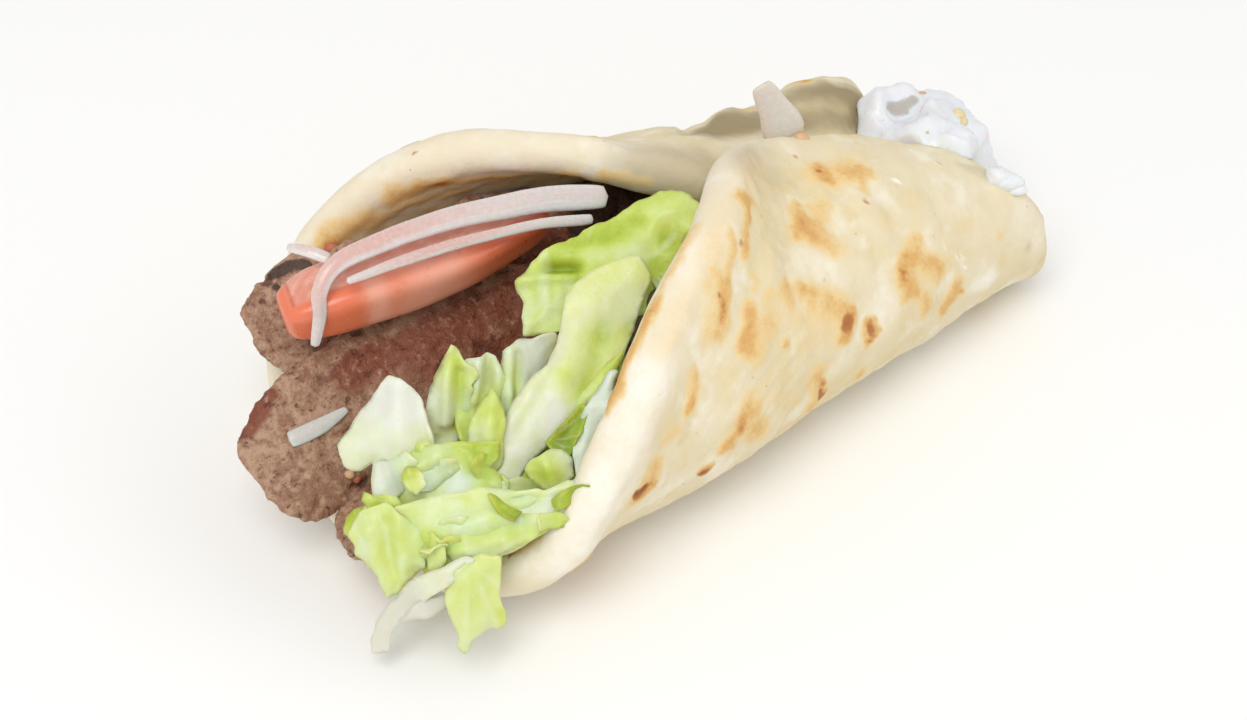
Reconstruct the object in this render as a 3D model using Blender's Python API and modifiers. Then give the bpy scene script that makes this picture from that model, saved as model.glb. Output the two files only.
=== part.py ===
"""Gyro wrap: a round pita folded round sliced meat, tomato, onion, lettuce and yoghurt sauce.

Frame: +X runs along the wrap to its narrow end, -Y is the side whose flap lies on top, +Z is up.
The origin is on the flat underside of the pita, in the middle of the fold.
All sizes below are in millimetres and become metres where a mesh is made.
"""
import math
from dataclasses import dataclass

import bmesh
import bpy
from mathutils import Vector, noise

MM = 0.001
WRAP_NAME = "gyro_wrap"
GAP = 0.4                   # clearance that neighbouring pieces keep
WELD_DISTANCE = 0.002       # points closer than this become one after a cut

# ---- pita ----
PITA_THICKNESS = 7.0
RIM_THICKNESS = 8.6         # the rim band is puffier than the middle
RIM_BAND = 14.0             # width of that band
PITA_REACH_LEFT = 83.0      # from the middle to the wide end
PITA_REACH_RIGHT = 76.5     # from the middle to the narrow end
PITA_SEGMENTS = 66
PITA_RINGS = 26             # rings from one pole to the other
RIM_RINGS = 3               # of those, the rings that round each half of the rim
PITA_UNEVENNESS = 0.9       # depth of the soft bumps in the bread
PITA_BUMP_WIDTH = 24.0      # and how wide they are
FLAT_BELOW = 0.35           # underside lower than this is pressed flat on the table
STATION_FIRST = -90.0       # the flap values below hold for stations along the fold
STATION_STEP = 30.0
BEND_EASE = 1.15            # how much longer a wall's bend is than an even arc
NORMAL_STEP = 0.5           # distance over which the sheet's slope is measured
FOLD_STEPS = 40             # steps in which a cross-section is followed outwards
LEAN_POWER = 1.25           # how much of a flap's lean lies near its rim
FOLD_LIFT = (8.0, 3.5, 0.5, 0.0, 0.0, 0.0, 0.0)     # the wide end rises off the table


@dataclass(frozen=True)
class Flap:
    """One side of the fold, with a value for each station along it."""
    side: int               # -1 is the near flap, on top; +1 the far flap, under it
    reach: float            # arc length from the fold to the rim at the widest place
    flat: tuple             # half width of the flat bottom
    radius: tuple           # bend radius of the wall
    turn: tuple             # degrees that the wall turns through
    curl: tuple             # degrees per mm past the bend
    skew: tuple             # how far the rim leans to the narrow end


NEAR_FLAP = Flap(
    side=-1, reach=93.0,
    flat=(16, 9.5, 7.6, 8, 8.2, 12, 15.3),
    radius=(24.6, 22.3, 23.3, 20.7, 19, 14.4, 10.4),
    turn=(49, 98.5, 125.5, 158.5, 189, 174.5, 130.5),
    curl=(0.2, 0.3, 0.6, 0.8, 0.6, 0.6, 0.5),
    skew=(29, 26.5, 22, 12.5, 4, -0.5, -1))
FAR_FLAP = Flap(
    side=1, reach=88.5,
    flat=(16, 19, 19, 13, 11, 10, 12),
    radius=(34, 29.5, 24.5, 19.5, 15.6, 13.2, 8),
    turn=(60, 82, 118, 166, 192, 200, 120),
    curl=(0.2, 0.6, 1.0, 1.5, 1.8, 1.5, 1.0),
    skew=(0, 0, 0, 0, 0, 0, 0))


# ---- small helpers ----
def cubic(p0, p1, p2, p3, t):
    """Smooth curve from p1 to p2 (Catmull-Rom)."""
    return 0.5 * ((2 * p1) + (p2 - p0) * t + (2 * p0 - 5 * p1 + 4 * p2 - p3) * t * t
                  + (3 * p1 - p0 - 3 * p2 + p3) * t ** 3)


def through(values, t):
    """Smooth curve through evenly spaced values or points; t runs from 0 to 1."""
    spans = len(values) - 1
    place = min(max(t, 0.0), 1.0) * spans
    i = min(int(place), spans - 1)
    before = values[i - 1] if i > 0 else 2 * values[0] - values[1]
    after = values[i + 2] if i + 2 <= spans else 2 * values[-1] - values[-2]
    return cubic(before, values[i], values[i + 1], after, place - i)


def at_station(values, u):
    """Value of a flap's station list u mm along the fold."""
    last = STATION_FIRST + STATION_STEP * (len(values) - 1)
    return through([float(v) for v in values], (u - STATION_FIRST) / (last - STATION_FIRST))


def ripple(point, scale, seed):
    """Soft unevenness between -1 and 1 at a point, with features about scale mm wide."""
    return noise.noise(Vector(point) / scale + Vector((seed * 7.3, seed * 3.1, seed * 5.7)))


def superellipse(t, power):
    """Half width left at t, from 1 in the middle to 0 at -1 and 1; a high power is blunt."""
    return max(1.0 - abs(t) ** power, 0.0) ** (1.0 / power)


def add_object(name, bm, material, collection):
    """Makes an object in metres from a mesh in millimetres."""
    bmesh.ops.scale(bm, vec=(MM, MM, MM), verts=bm.verts)
    bmesh.ops.triangulate(bm, faces=bm.faces)
    bmesh.ops.recalc_face_normals(bm, faces=bm.faces)
    mesh = bpy.data.meshes.new(name)
    bm.to_mesh(mesh)
    bm.free()
    mesh.materials.append(material)
    mesh.shade_smooth()
    piece = bpy.data.objects.new(name, mesh)
    collection.objects.link(piece)
    return piece


def apply_modifiers(piece):
    """Replaces the piece's mesh with what its modifiers make of it."""
    bpy.context.view_layer.update()
    evaluated = piece.evaluated_get(bpy.context.evaluated_depsgraph_get())
    finished = bpy.data.meshes.new_from_object(evaluated)
    piece.modifiers.clear()
    piece.data = finished


def keep_main_body(piece):
    """Drops loose scraps and fills sealed hollows: only the largest closed shell stays."""
    bm = bmesh.new()
    bm.from_mesh(piece.data)
    bmesh.ops.remove_doubles(bm, verts=bm.verts, dist=WELD_DISTANCE * MM)
    unseen = set(bm.faces)
    shells = []
    while unseen:
        shell = []
        frontier = [unseen.pop()]
        while frontier:
            face = frontier.pop()
            shell.append(face)
            for edge in face.edges:
                for other in edge.link_faces:
                    if other in unseen:
                        unseen.remove(other)
                        frontier.append(other)
        shells.append(shell)
    main = max(shells, key=lambda shell: sum(face.calc_area() for face in shell))
    scraps = [face for shell in shells if shell is not main for face in shell]
    bmesh.ops.delete(bm, geom=scraps, context="FACES")
    bm.to_mesh(piece.data)
    bm.free()


def carve(piece, *neighbours):
    """Cuts the piece back so that it keeps GAP to each neighbour."""
    for neighbour in neighbours:
        cutter = neighbour.copy()
        cutter.data = neighbour.data.copy()
        cutter.name = "cutter"
        bpy.context.scene.collection.objects.link(cutter)
        normals = [normal.vector.copy() for normal in cutter.data.vertex_normals]
        for vertex, normal in zip(cutter.data.vertices, normals):
            vertex.co += normal * GAP * MM
        cut = piece.modifiers.new("clearance", "BOOLEAN")
        cut.operation = "DIFFERENCE"
        cut.object = cutter
        apply_modifiers(piece)
        bpy.data.objects.remove(cutter)
    keep_main_body(piece)


# ---- materials ----
def finish(name, colour, roughness, subsurface=0.0):
    """A plain surface: its linear colour, roughness and how far light goes in."""
    material = bpy.data.materials.new(name)
    material.use_nodes = True
    shader = material.node_tree.nodes["Principled BSDF"]
    shader.inputs["Base Color"].default_value = (*colour, 1.0)
    shader.inputs["Roughness"].default_value = roughness
    shader.inputs["Metallic"].default_value = 0.0
    shader.inputs["Subsurface Weight"].default_value = subsurface
    material.diffuse_color = (*colour, 1.0)
    return material


def pita_bread():
    return finish("pita_bread", (0.80, 0.68, 0.46), 0.75, 0.1)


def gyro_meat():
    return finish("gyro_meat", (0.30, 0.16, 0.10), 0.6)


def tomato_flesh():
    return finish("tomato_flesh", (0.69, 0.20, 0.10), 0.3, 0.2)


def onion_white():
    return finish("onion_white", (0.72, 0.60, 0.58), 0.35, 0.2)


def lettuce_green():
    return finish("lettuce_green", (0.62, 0.75, 0.25), 0.45, 0.2)


def yoghurt_sauce():
    return finish("yoghurt_sauce", (0.82, 0.84, 0.86), 0.35, 0.2)


# ---- pita ----
def heading(s, flat, radius, turn, curl):
    """Direction of the wall's cross-section s mm out from the middle of the fold, in radians."""
    end = flat + turn * radius * BEND_EASE
    t = min(max((s - flat) / (end - flat), 0.0), 1.0)
    eased = 0.5 * t + 0.5 * t * t * (3.0 - 2.0 * t)
    return turn * eased + curl * max(s - end, 0.0)


def fold_point(u, v):
    """Point of the pita's middle surface, u mm along the fold and v mm across it."""
    flap = NEAR_FLAP if v < 0 else FAR_FLAP
    flat = at_station(flap.flat, u)
    radius = at_station(flap.radius, u)
    turn = math.radians(at_station(flap.turn, u))
    curl = math.radians(at_station(flap.curl, u))
    distance = abs(v)
    step = distance / FOLD_STEPS
    across = 0.0
    up = at_station(FOLD_LIFT, u) + PITA_THICKNESS / 2
    for i in range(FOLD_STEPS):
        angle = heading((i + 0.5) * step, flat, radius, turn, curl)
        across += math.cos(angle) * step
        up += math.sin(angle) * step
    lean = at_station(flap.skew, u) * (distance / flap.reach) ** LEAN_POWER
    return Vector((u + lean, flap.side * across, up))


def fold_normal(u, v):
    """Direction out of the wrap at a point of the pita's middle surface."""
    along = fold_point(u + NORMAL_STEP, v) - fold_point(u - NORMAL_STEP, v)
    across = fold_point(u, v + NORMAL_STEP) - fold_point(u, v - NORMAL_STEP)
    return across.cross(along).normalized()


def pita_disc(vertex):
    """Turns a point of a unit sphere into u, v and the part of the half thickness there."""
    steps = PITA_RINGS / 2
    ring = math.acos(min(abs(vertex.z), 1.0)) / (math.pi / 2) * steps
    angle = math.atan2(vertex.y, vertex.x)
    reach_u = PITA_REACH_RIGHT if math.cos(angle) > 0 else PITA_REACH_LEFT
    reach_v = FAR_FLAP.reach if math.sin(angle) > 0 else NEAR_FLAP.reach
    rim = RIM_THICKNESS / 2 / reach_v
    if ring <= steps - RIM_RINGS:
        spread = (1.0 - rim) * ring / (steps - RIM_RINGS)
        full = 1.0
    else:
        bend = (ring - steps + RIM_RINGS) / RIM_RINGS * math.pi / 2
        spread = 1.0 - rim + rim * math.sin(bend)
        full = math.cos(bend)
    inside = (1.0 - spread) * reach_v
    nearness = min(max(1.0 - abs(inside - RIM_BAND / 2) / RIM_BAND, 0.0), 1.0)
    puff = 0.5 - 0.5 * math.cos(math.pi * nearness)
    half = (PITA_THICKNESS + (RIM_THICKNESS - PITA_THICKNESS) * puff) / 2
    return spread * reach_u * math.cos(angle), spread * reach_v * math.sin(angle), half * full


def make_pita(collection):
    """The folded round of bread, an evenly thick disc with a puffy rim."""
    bm = bmesh.new()
    bmesh.ops.create_uvsphere(bm, u_segments=PITA_SEGMENTS, v_segments=PITA_RINGS, radius=1.0)
    for vertex in bm.verts:
        u, v, half = pita_disc(vertex.co)
        outer = 1.0 if vertex.co.z < 0 else -1.0
        bump = PITA_UNEVENNESS * ripple((u, v, outer * PITA_THICKNESS), PITA_BUMP_WIDTH, 1)
        point = fold_point(u, v) + fold_normal(u, v) * (outer * half + bump)
        if point.z < FLAT_BELOW:
            point.z = 0.0
        vertex.co = point
    return add_object("pita", bm, pita_bread(), collection)


# ---- fillings ----
END_CROWDING = 0.75         # how much closer together the rings lie near a strand's ends


@dataclass(frozen=True)
class Strand:
    """A filling laid along a line: a slice, a wedge, a strip or a mound of sauce."""
    name: str
    line: tuple             # points that its centre line passes through
    widths: tuple           # width at even steps along the line
    heights: tuple          # thickness at the same steps
    face: tuple             # direction that its broad side looks in
    rings: int
    segments: int
    blunt: float = 4.0      # how square its ends are
    square: float = 3.0     # how square its cross-section is
    ragged: float = 0.0     # depth of the unevenness of its outline, in mm
    ragged_scale: float = 12.0
    seed: int = 0


MEAT = (
    Strand("meat_slice_upper",
           line=((-78.5, 34.5, 30), (-50, 35, 31), (-20, 28, 27), (10, 18, 22), (32, 10, 18)),
           widths=(28, 25, 24, 24, 20), heights=(4.6, 5.4, 6.0, 6.0, 5.0), face=(0, -0.48, 0.88),
           rings=22, segments=12, blunt=3.6, ragged=2.0, seed=2),
    Strand("meat_slice_front",
           line=((-93.5, 10, 20), (-72, 13.5, 23.8), (-46, 14, 25), (-20, 8, 21), (8, 2, 17), (38, -2, 15)),
           widths=(33, 29.5, 28, 27, 25, 18), heights=(4.8, 5.0, 5.0, 4.8, 4.6, 4.2),
           face=(0, -0.6, 0.8), rings=26, segments=12, blunt=3.8, ragged=1.8, seed=3),
    Strand("meat_slice_lower",
           line=((-89, -8, 15.5), (-60, -3, 13.8), (-20, 1, 12.4), (24, -1, 12)),
           widths=(18, 38, 40, 30), heights=(4.4, 6.4, 7.0, 6.0), face=(0, -0.1, 1.0),
           rings=16, segments=12, blunt=3.4, ragged=1.6, seed=4),
)

TOMATO = Strand("tomato_wedge",
                line=((-75, 30, 40.5), (-62, 26, 42.2), (-42, 23.5, 42.2), (-20, 23, 41)),
                widths=(13, 16, 16, 11), heights=(10, 11.5, 9.5, 5), face=(0, -0.15, 1.0),
                rings=16, segments=14, blunt=5.0, square=3.6, ragged=0.3, seed=5)

ONIONS = (
    Strand("onion_strip_long",
           line=((-74, 20, 38.5), (-71.5, 21, 44), (-70, 22.3, 48.6), (-65, 23.4, 51.6), (-54, 22.4, 52),
                 (-42, 20.8, 51), (-31, 18.8, 49), (-21, 16.5, 47), (-11, 11.5, 45.5)),
           widths=(2.4, 3.2, 4.4, 5.4, 5.6), heights=(1.8, 2.0, 2.2, 2.4, 2.6),
           face=(-0.1, -0.6, 0.8), rings=26, segments=8, blunt=6.0, square=2.6),
    Strand("onion_strip_thin",
           line=((-66, 19.5, 50.4), (-54, 17.6, 50.2), (-41, 15.4, 48.9), (-28, 12.5, 47.2),
                 (-17, 8.6, 45.2)),
           widths=(1.6, 2.2, 2.0, 2.4), heights=(1.4, 1.6, 1.6, 1.8),
           face=(-0.1, -0.6, 0.8), rings=16, segments=8, blunt=6.0, square=2.6),
    Strand("onion_strip_short",
           line=((-69, 34, 50.6), (-66.6, 30.2, 50.6), (-64.6, 27, 49.8)),
           widths=(3.0, 3.2, 2.8), heights=(1.8, 1.8, 1.6),
           face=(-0.1, -0.4, 0.9), rings=8, segments=8, blunt=6.0, square=2.6),
    Strand("onion_sliver",
           line=((-85.5, 13.6, 26.6), (-79, 12.6, 26.9), (-73, 12.6, 27.4)),
           widths=(3.4, 3.0, 1.4), heights=(1.4, 1.6, 1.2),
           face=(0, -0.6, 0.8), rings=10, segments=8, blunt=5.0, square=2.6),
    Strand("onion_piece_top",
           line=((27, 2.5, 45.6), (26.5, 5, 50), (25, 8.5, 56)),
           widths=(7.0, 8.6, 6.0), heights=(2.6, 2.6, 2.2),
           face=(-0.45, -0.6, 0.6), rings=10, segments=10, blunt=4.0, square=2.8),
)

SAUCE = Strand("yoghurt_sauce",
               line=((41, -2, 22.5), (53, -3.5, 21.5), (61, -5.5, 20), (69, -9.5, 17), (76.5, -13.5, 14)),
               widths=(24, 37, 38, 30, 16), heights=(26, 40, 37, 28, 14), face=(0, -0.1, 1.0),
               rings=20, segments=22, blunt=2.4, square=2.1, ragged=7.0, ragged_scale=9.5, seed=4)

LETTUCE_CORE = Strand("lettuce",
                      line=((-84, -13, 21), (-64, -17, 23), (-43, -15, 26), (-22, -12, 31), (-2, -13, 30),
                            (18, -17, 25), (38, -18, 23)),
                      widths=(18, 28, 30, 28, 34, 32, 22), heights=(9, 14, 20, 26, 32, 28, 22),
                      face=(0, -0.4, 0.9), rings=20, segments=14, blunt=3.0, square=2.4, ragged=1.5, seed=7)


@dataclass(frozen=True)
class Leaf:
    """One torn leaf or shred of lettuce, fused to the heap."""
    line: tuple             # points that its rib passes through
    widths: tuple
    face: tuple             # direction that it looks in
    ruffle: float           # height of the waves along its edges
    waves: float            # how many of them
    cup: float = 0.0        # how far its edges turn up
    steps: int = 7


LEAF_THICKNESS = 1.0
TORN_DEPTH = 0.22           # how far a torn edge wanders, as a part of the half width
LEAF_TIP = 0.55             # half width at a leaf's ends, as a part of that in its middle
OPEN_SIDE = (-0.4, -0.5, 0.75)
LEAVES = (
    Leaf(((-66, 2.5, 37), (-72.5, -1.5, 34.5), (-79, -8, 29)), (12, 16.5, 9), OPEN_SIDE, 1.0, 1.0, 2.0),
    Leaf(((-54, 3.5, 41), (-60, -3, 36), (-67, -11, 28)), (5, 10, 7), (-0.8, -0.3, 0.5), 1.8, 1.6),
    Leaf(((-49, 0, 40), (-55, -5, 36), (-62, -12, 29)), (6, 9, 7), (-0.2, -0.8, 0.6), 1.8, 1.5),
    Leaf(((-43, -3, 41), (-50, -9, 36), (-57, -15, 30)), (7, 10, 8), (-0.7, -0.4, 0.6), 1.6, 1.4),
    Leaf(((-17, -6, 46), (-36, -14.5, 40), (-62, -22, 28)), (13, 15, 8), (-0.2, -0.6, 0.75),
         0.8, 1.0, -2.2, 8),
    Leaf(((-42, 1, 42), (-22, -1, 48), (1, -3, 51)), (13, 15, 8), (-0.3, -0.4, 0.85), 1.4, 1.8, 1.5, 8),
    Leaf(((-38, 3, 43), (-31, 5, 46.5), (-24, 5, 48)), (7, 8, 5), (-0.2, -0.7, 0.7), 1.0, 1.0, 2.0, 6),
    Leaf(((-58, -27, 28), (-70, -21, 27.5), (-82, -11, 26)), (10, 15, 11), OPEN_SIDE, 1.8, 2.0, 1.5),
    Leaf(((-64, -10, 32), (-76, -14, 29), (-89, -19, 21)), (9, 13, 10), (-0.5, -0.3, 0.8), 1.8, 1.8),
    Leaf(((-70, -26, 25), (-80, -25, 23), (-91, -22, 17)), (10, 13, 9), (-0.4, -0.6, 0.7), 1.6, 1.7),
    Leaf(((-50, -22, 32), (-61, -22, 30), (-74, -21, 26)), (9, 13, 10), (-0.2, -0.6, 0.8), 1.8, 2.0),
    Leaf(((-75, -4, 31), (-82, -10, 27), (-88, -16, 21)), (5, 7, 5), (-0.8, -0.2, 0.6), 1.2, 1.4),
    Leaf(((-49, -31, 28), (-63, -31, 25.5), (-79, -29, 22.5), (-89, -28, 18), (-93, -25, 10), (-93, -22, 3)),
         (5, 5, 5, 4.5, 3.5), (-0.3, -0.6, 0.7), 0.3, 1.0, 0.8, 10),
    Leaf(((-66, -27, 25), (-76, -30, 22), (-81, -33, 14), (-81, -33, 5)), (10, 12, 11, 4),
         (-0.5, -0.7, 0.5), 1.0, 1.6, 0.0, 8),
    Leaf(((-39, -20, 37), (-46, -24, 33), (-55, -27, 27)), (6, 9, 6), (-0.5, -0.5, 0.7), 1.5, 1.2, 2.5, 7),
)


def frame_on(line, face, t):
    """Centre point, direction across and direction out at t (0 to 1) along a line."""
    points = [Vector(p) for p in line]
    centre = through(points, t)
    along = (through(points, min(t + 0.01, 1.0)) - through(points, max(t - 0.01, 0.0))).normalized()
    across = along.cross(Vector(face)).normalized()
    return centre, across, across.cross(along)


def make_strand(strand, material, collection):
    """A closed body swept along the strand's line, from a sphere whose rings become sections."""
    bm = bmesh.new()
    bmesh.ops.create_uvsphere(bm, u_segments=strand.segments, v_segments=strand.rings, radius=1.0)
    for vertex in bm.verts:
        polar = math.acos(max(min(-vertex.co.z, 1.0), -1.0))
        t = END_CROWDING * (0.5 - 0.5 * math.cos(polar)) + (1 - END_CROWDING) * polar / math.pi
        fill = superellipse(2 * t - 1, strand.blunt)
        angle = math.atan2(vertex.co.y, vertex.co.x)
        centre, across, out = frame_on(strand.line, strand.face, t)
        c, s = math.cos(angle), math.sin(angle)
        side = math.copysign(abs(c) ** (2 / strand.square), c) * through(strand.widths, t) / 2 * fill
        rise = math.copysign(abs(s) ** (2 / strand.square), s) * through(strand.heights, t) / 2 * fill
        point = centre + across * side + out * rise
        wave = ripple(point, strand.ragged_scale, strand.seed) * strand.ragged
        away = across * side + out * rise * 0.5
        point += away.normalized() * wave
        vertex.co = point
    return add_object(strand.name, bm, material, collection)


def make_leaf(leaf, index, collection):
    """A thin wavy solid whose two faces are split into triangles alike."""
    bm = bmesh.new()
    bmesh.ops.create_grid(bm, x_segments=leaf.steps, y_segments=3, size=1.0)
    for vertex in bm.verts:
        a, b = vertex.co.x, vertex.co.y
        t = (a + 1) / 2
        centre, across, out = frame_on(leaf.line, leaf.face, t)
        torn = 1.0 + TORN_DEPTH * ripple((a * 3.0, b * 1.3, index * 1.7), 1.0, 8)
        tip = LEAF_TIP + (1.0 - LEAF_TIP) * superellipse(a, 3.0)
        half = through(leaf.widths, t) / 2 * torn * tip
        wave = leaf.ruffle * abs(b) ** 1.5 * math.sin(math.tau * leaf.waves * t + index + (b > 0) * 1.7)
        vertex.co = centre + across * half * b + out * (wave + leaf.cup * b * b)
    piece = add_object("leaf", bm, lettuce_green(), collection)
    solid = piece.modifiers.new("thickness", "SOLIDIFY")
    solid.thickness = LEAF_THICKNESS * MM
    solid.offset = 0.0
    apply_modifiers(piece)
    return piece


def make_lettuce(collection):
    """The heap of lettuce: a core with the leaves that show fused on."""
    heap = make_strand(LETTUCE_CORE, lettuce_green(), collection)
    leaves = bpy.data.collections.new("leaves")
    bpy.context.scene.collection.children.link(leaves)
    for index, leaf in enumerate(LEAVES):
        make_leaf(leaf, index, leaves)
    join = heap.modifiers.new("join", "BOOLEAN")
    join.operation = "UNION"
    join.operand_type = "COLLECTION"
    join.collection = leaves
    apply_modifiers(heap)
    for joined in list(leaves.objects):
        bpy.data.objects.remove(joined)
    bpy.data.collections.remove(leaves)
    keep_main_body(heap)
    return heap


def main():
    for old in list(bpy.data.objects):
        bpy.data.objects.remove(old)
    wrap = bpy.data.collections.new(WRAP_NAME)
    bpy.context.scene.collection.children.link(wrap)
    pita = make_pita(wrap)
    upper, front, lower = [make_strand(slice_, gyro_meat(), wrap) for slice_ in MEAT]
    carve(front, pita)
    carve(upper, pita, front)
    carve(lower, pita, front, upper)
    tomato = make_strand(TOMATO, tomato_flesh(), wrap)
    carve(tomato, upper, front, pita)
    onions = [make_strand(strip, onion_white(), wrap) for strip in ONIONS]
    for strip in onions:
        carve(strip, tomato, pita, front)
    sauce = make_strand(SAUCE, yoghurt_sauce(), wrap)
    carve(sauce, pita, upper, front, onions[-1])
    lettuce = make_lettuce(wrap)
    carve(lettuce, pita, front, lower, upper, tomato, sauce, *onions[:-1])


main()
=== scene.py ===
"""Looks of the gyro wrap: bread, meat, tomato, onion, lettuce and sauce around the fixed frame.

The frame is in metres; every size in this file is in millimetres and becomes metres where a mesh is made.
+X runs along the wrap to its narrow end, -Y is the side whose flap lies on top, +Z is up.
"""

import logging
import math
from dataclasses import dataclass
from enum import Enum
from typing import Any, Callable, Iterable, Sequence

import bmesh
import bpy
import numpy as np
from mathutils import Matrix, Vector, noise
from mathutils.bvhtree import BVHTree
from mathutils.geometry import delaunay_2d_cdt


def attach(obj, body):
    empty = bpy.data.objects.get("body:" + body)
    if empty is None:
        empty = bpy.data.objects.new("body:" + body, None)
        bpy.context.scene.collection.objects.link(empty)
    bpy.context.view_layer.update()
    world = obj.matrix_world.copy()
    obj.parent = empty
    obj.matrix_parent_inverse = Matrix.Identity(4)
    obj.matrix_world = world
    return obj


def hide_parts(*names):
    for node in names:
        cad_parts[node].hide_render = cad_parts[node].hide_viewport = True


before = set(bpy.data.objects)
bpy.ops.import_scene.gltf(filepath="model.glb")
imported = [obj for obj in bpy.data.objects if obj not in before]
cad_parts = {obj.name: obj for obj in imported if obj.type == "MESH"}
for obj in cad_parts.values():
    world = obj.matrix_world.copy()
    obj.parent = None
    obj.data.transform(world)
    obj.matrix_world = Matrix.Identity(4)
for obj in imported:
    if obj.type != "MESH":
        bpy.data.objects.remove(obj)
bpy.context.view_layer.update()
LOG = logging.getLogger("gyro_wrap")

MM = 0.001
ROOT = "root"

Array = np.ndarray
Piece = bpy.types.Object
Material = bpy.types.Material
Point = tuple[float, float, float]
Pixel = tuple[float, float]
Colour = tuple[float, float, float, float]
Numbers = tuple[float, ...]
Faces = list[Sequence[int]]


# ---- numbers
def paint(red: int, green: int, blue: int) -> Colour:
    """Turns a colour as a screen shows it into the shader's linear one.

    Args:
        red, green, blue: 0 to 255.

    Returns:
        Linear red, green, blue and an alpha of 1.
    """
    parts = [c / 255 for c in (red, green, blue)]
    parts = [c / 12.92 if c <= 0.04045 else ((c + 0.055) / 1.055) ** 2.4 for c in parts]
    return parts[0], parts[1], parts[2], 1.0


def ease(low: float, high: float, x: Array) -> Array:
    """Rises smoothly from 0 at low to 1 at high."""
    t = np.clip((x - low) / (high - low), 0.0, 1.0)
    return t * t * (3.0 - 2.0 * t)


def through(values: Sequence[Any], t: Array) -> Array:
    """Smooth curve through evenly spaced values or points (Catmull-Rom).

    Args:
        values: at least two numbers or points.
        t: places along them, from 0 to 1.

    Returns:
        One number or point for each place.
    """
    table = np.asarray(values, float)
    spans = len(table) - 1
    place = np.clip(t, 0.0, 1.0) * spans
    i = np.minimum(place.astype(int), spans - 1)
    padded = np.concatenate([[2 * table[0] - table[1]], table, [2 * table[-1] - table[-2]]])
    p0, p1, p2, p3 = padded[i], padded[i + 1], padded[i + 2], padded[i + 3]
    f = place - i
    if table.ndim > 1:
        f = f[:, None]
    return 0.5 * (2 * p1 + (p2 - p0) * f + (2 * p0 - 5 * p1 + 4 * p2 - p3) * f ** 2
                  + (3 * p1 - p0 - 3 * p2 + p3) * f ** 3)


def unit(vectors: Array) -> Array:
    """Scales each row to length 1."""
    return vectors / np.maximum(np.linalg.norm(vectors, axis=1), 1e-9)[:, None]


def superellipse(t: Array, power: float) -> Array:
    """Half width left at t, from 1 in the middle to 0 at -1 and 1; a high power is blunt."""
    return np.maximum(1.0 - np.abs(t) ** power, 0.0) ** (1.0 / power)


def ripple(points: Array, scale: float, seed: float) -> Array:
    """Soft unevenness between about -1 and 1 with features some scale mm wide, as the solids have it."""
    shift = Vector((seed * 7.3, seed * 3.1, seed * 5.7))
    return np.array([noise.noise(Vector(p) / scale + shift) for p in points])


def scatter_numbers(cells: Array, seed: int) -> Array:
    """A repeatable random number for each cell of a grid, from a mix of its numbers' bits.

    Args:
        cells: rows of three whole numbers.
        seed: picks the pattern.

    Returns:
        One number from 0 to 1 a row.
    """
    mixed = (cells[:, 0].astype(np.int64) * 73856093 ^ cells[:, 1].astype(np.int64) * 19349663
             ^ cells[:, 2].astype(np.int64) * 83492791 ^ (seed * 2654435 + 97))
    mixed = (mixed ^ (mixed >> 13)) * 1274126177 & 0x7FFFFFFF
    mixed = (mixed ^ (mixed >> 15)) * 668265263 & 0x7FFFFFFF
    return (mixed ^ (mixed >> 14)) % 1000003 / 1000003.0


def soft_grain(points: Array, size: float, seed: int) -> Array:
    """Smooth noise from -1 to 1, with bumps about size mm wide.

    Args:
        points: rows of x, y, z in mm.
        size: width of a bump.
        seed: picks the pattern.

    Returns:
        One number a point.
    """
    place = points / size
    low = np.floor(place).astype(np.int64)
    f = place - low
    f = f * f * (3.0 - 2.0 * f)
    total = np.zeros(len(points))
    for corner in range(8):
        step = np.array([corner & 1, corner >> 1 & 1, corner >> 2 & 1])
        weight = np.prod(np.where(step == 1, f, 1.0 - f), axis=1)
        total += weight * scatter_numbers(low + step, seed)
    return total * 2.0 - 1.0


def pebbles(points: Array, size: float, seed: int) -> tuple[Array, Array]:
    """Cells packed like pebbles.

    Args:
        points: rows of x, y, z in mm.
        size: distance between pebbles.
        seed: picks the pattern.

    Returns:
        The distance to the nearest pebble's middle, in sizes, and a random number of that pebble.
    """
    place = points / size
    low = np.floor(place).astype(np.int64)
    nearest = np.full(len(points), 9.0)
    label = np.zeros(len(points))
    for i in range(27):
        cell = low + np.array([i % 3 - 1, i // 3 % 3 - 1, i // 9 - 1])
        middle = cell + np.stack([scatter_numbers(cell, seed + k) for k in range(3)], 1)
        distance = np.linalg.norm(place - middle, axis=1)
        closer = distance < nearest
        nearest = np.where(closer, distance, nearest)
        label = np.where(closer, scatter_numbers(cell, seed + 7), label)
    return nearest, label


def distance_to_path(points: Array, path: Array) -> Array:
    """Distance from points to a path.

    Args:
        points, path: rows of as many coordinates each.

    Returns:
        The distance to the path's nearest stretch, a number a point.
    """
    best = np.full(len(points), 1e9)
    if len(path) == 1:
        return np.linalg.norm(points - path[0], axis=1)
    for start, end in zip(path[:-1], path[1:]):
        run = end - start
        t = np.clip((points - start) @ run / max(run @ run, 1e-9), 0.0, 1.0)
        best = np.minimum(best, np.linalg.norm(points - start - t[:, None] * run, axis=1))
    return best


def new_object(name: str, data: Any) -> Piece:
    """Puts an object with that name and data in the scene."""
    made = bpy.data.objects.new(name, data)
    bpy.context.scene.collection.objects.link(made)
    return made


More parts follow.
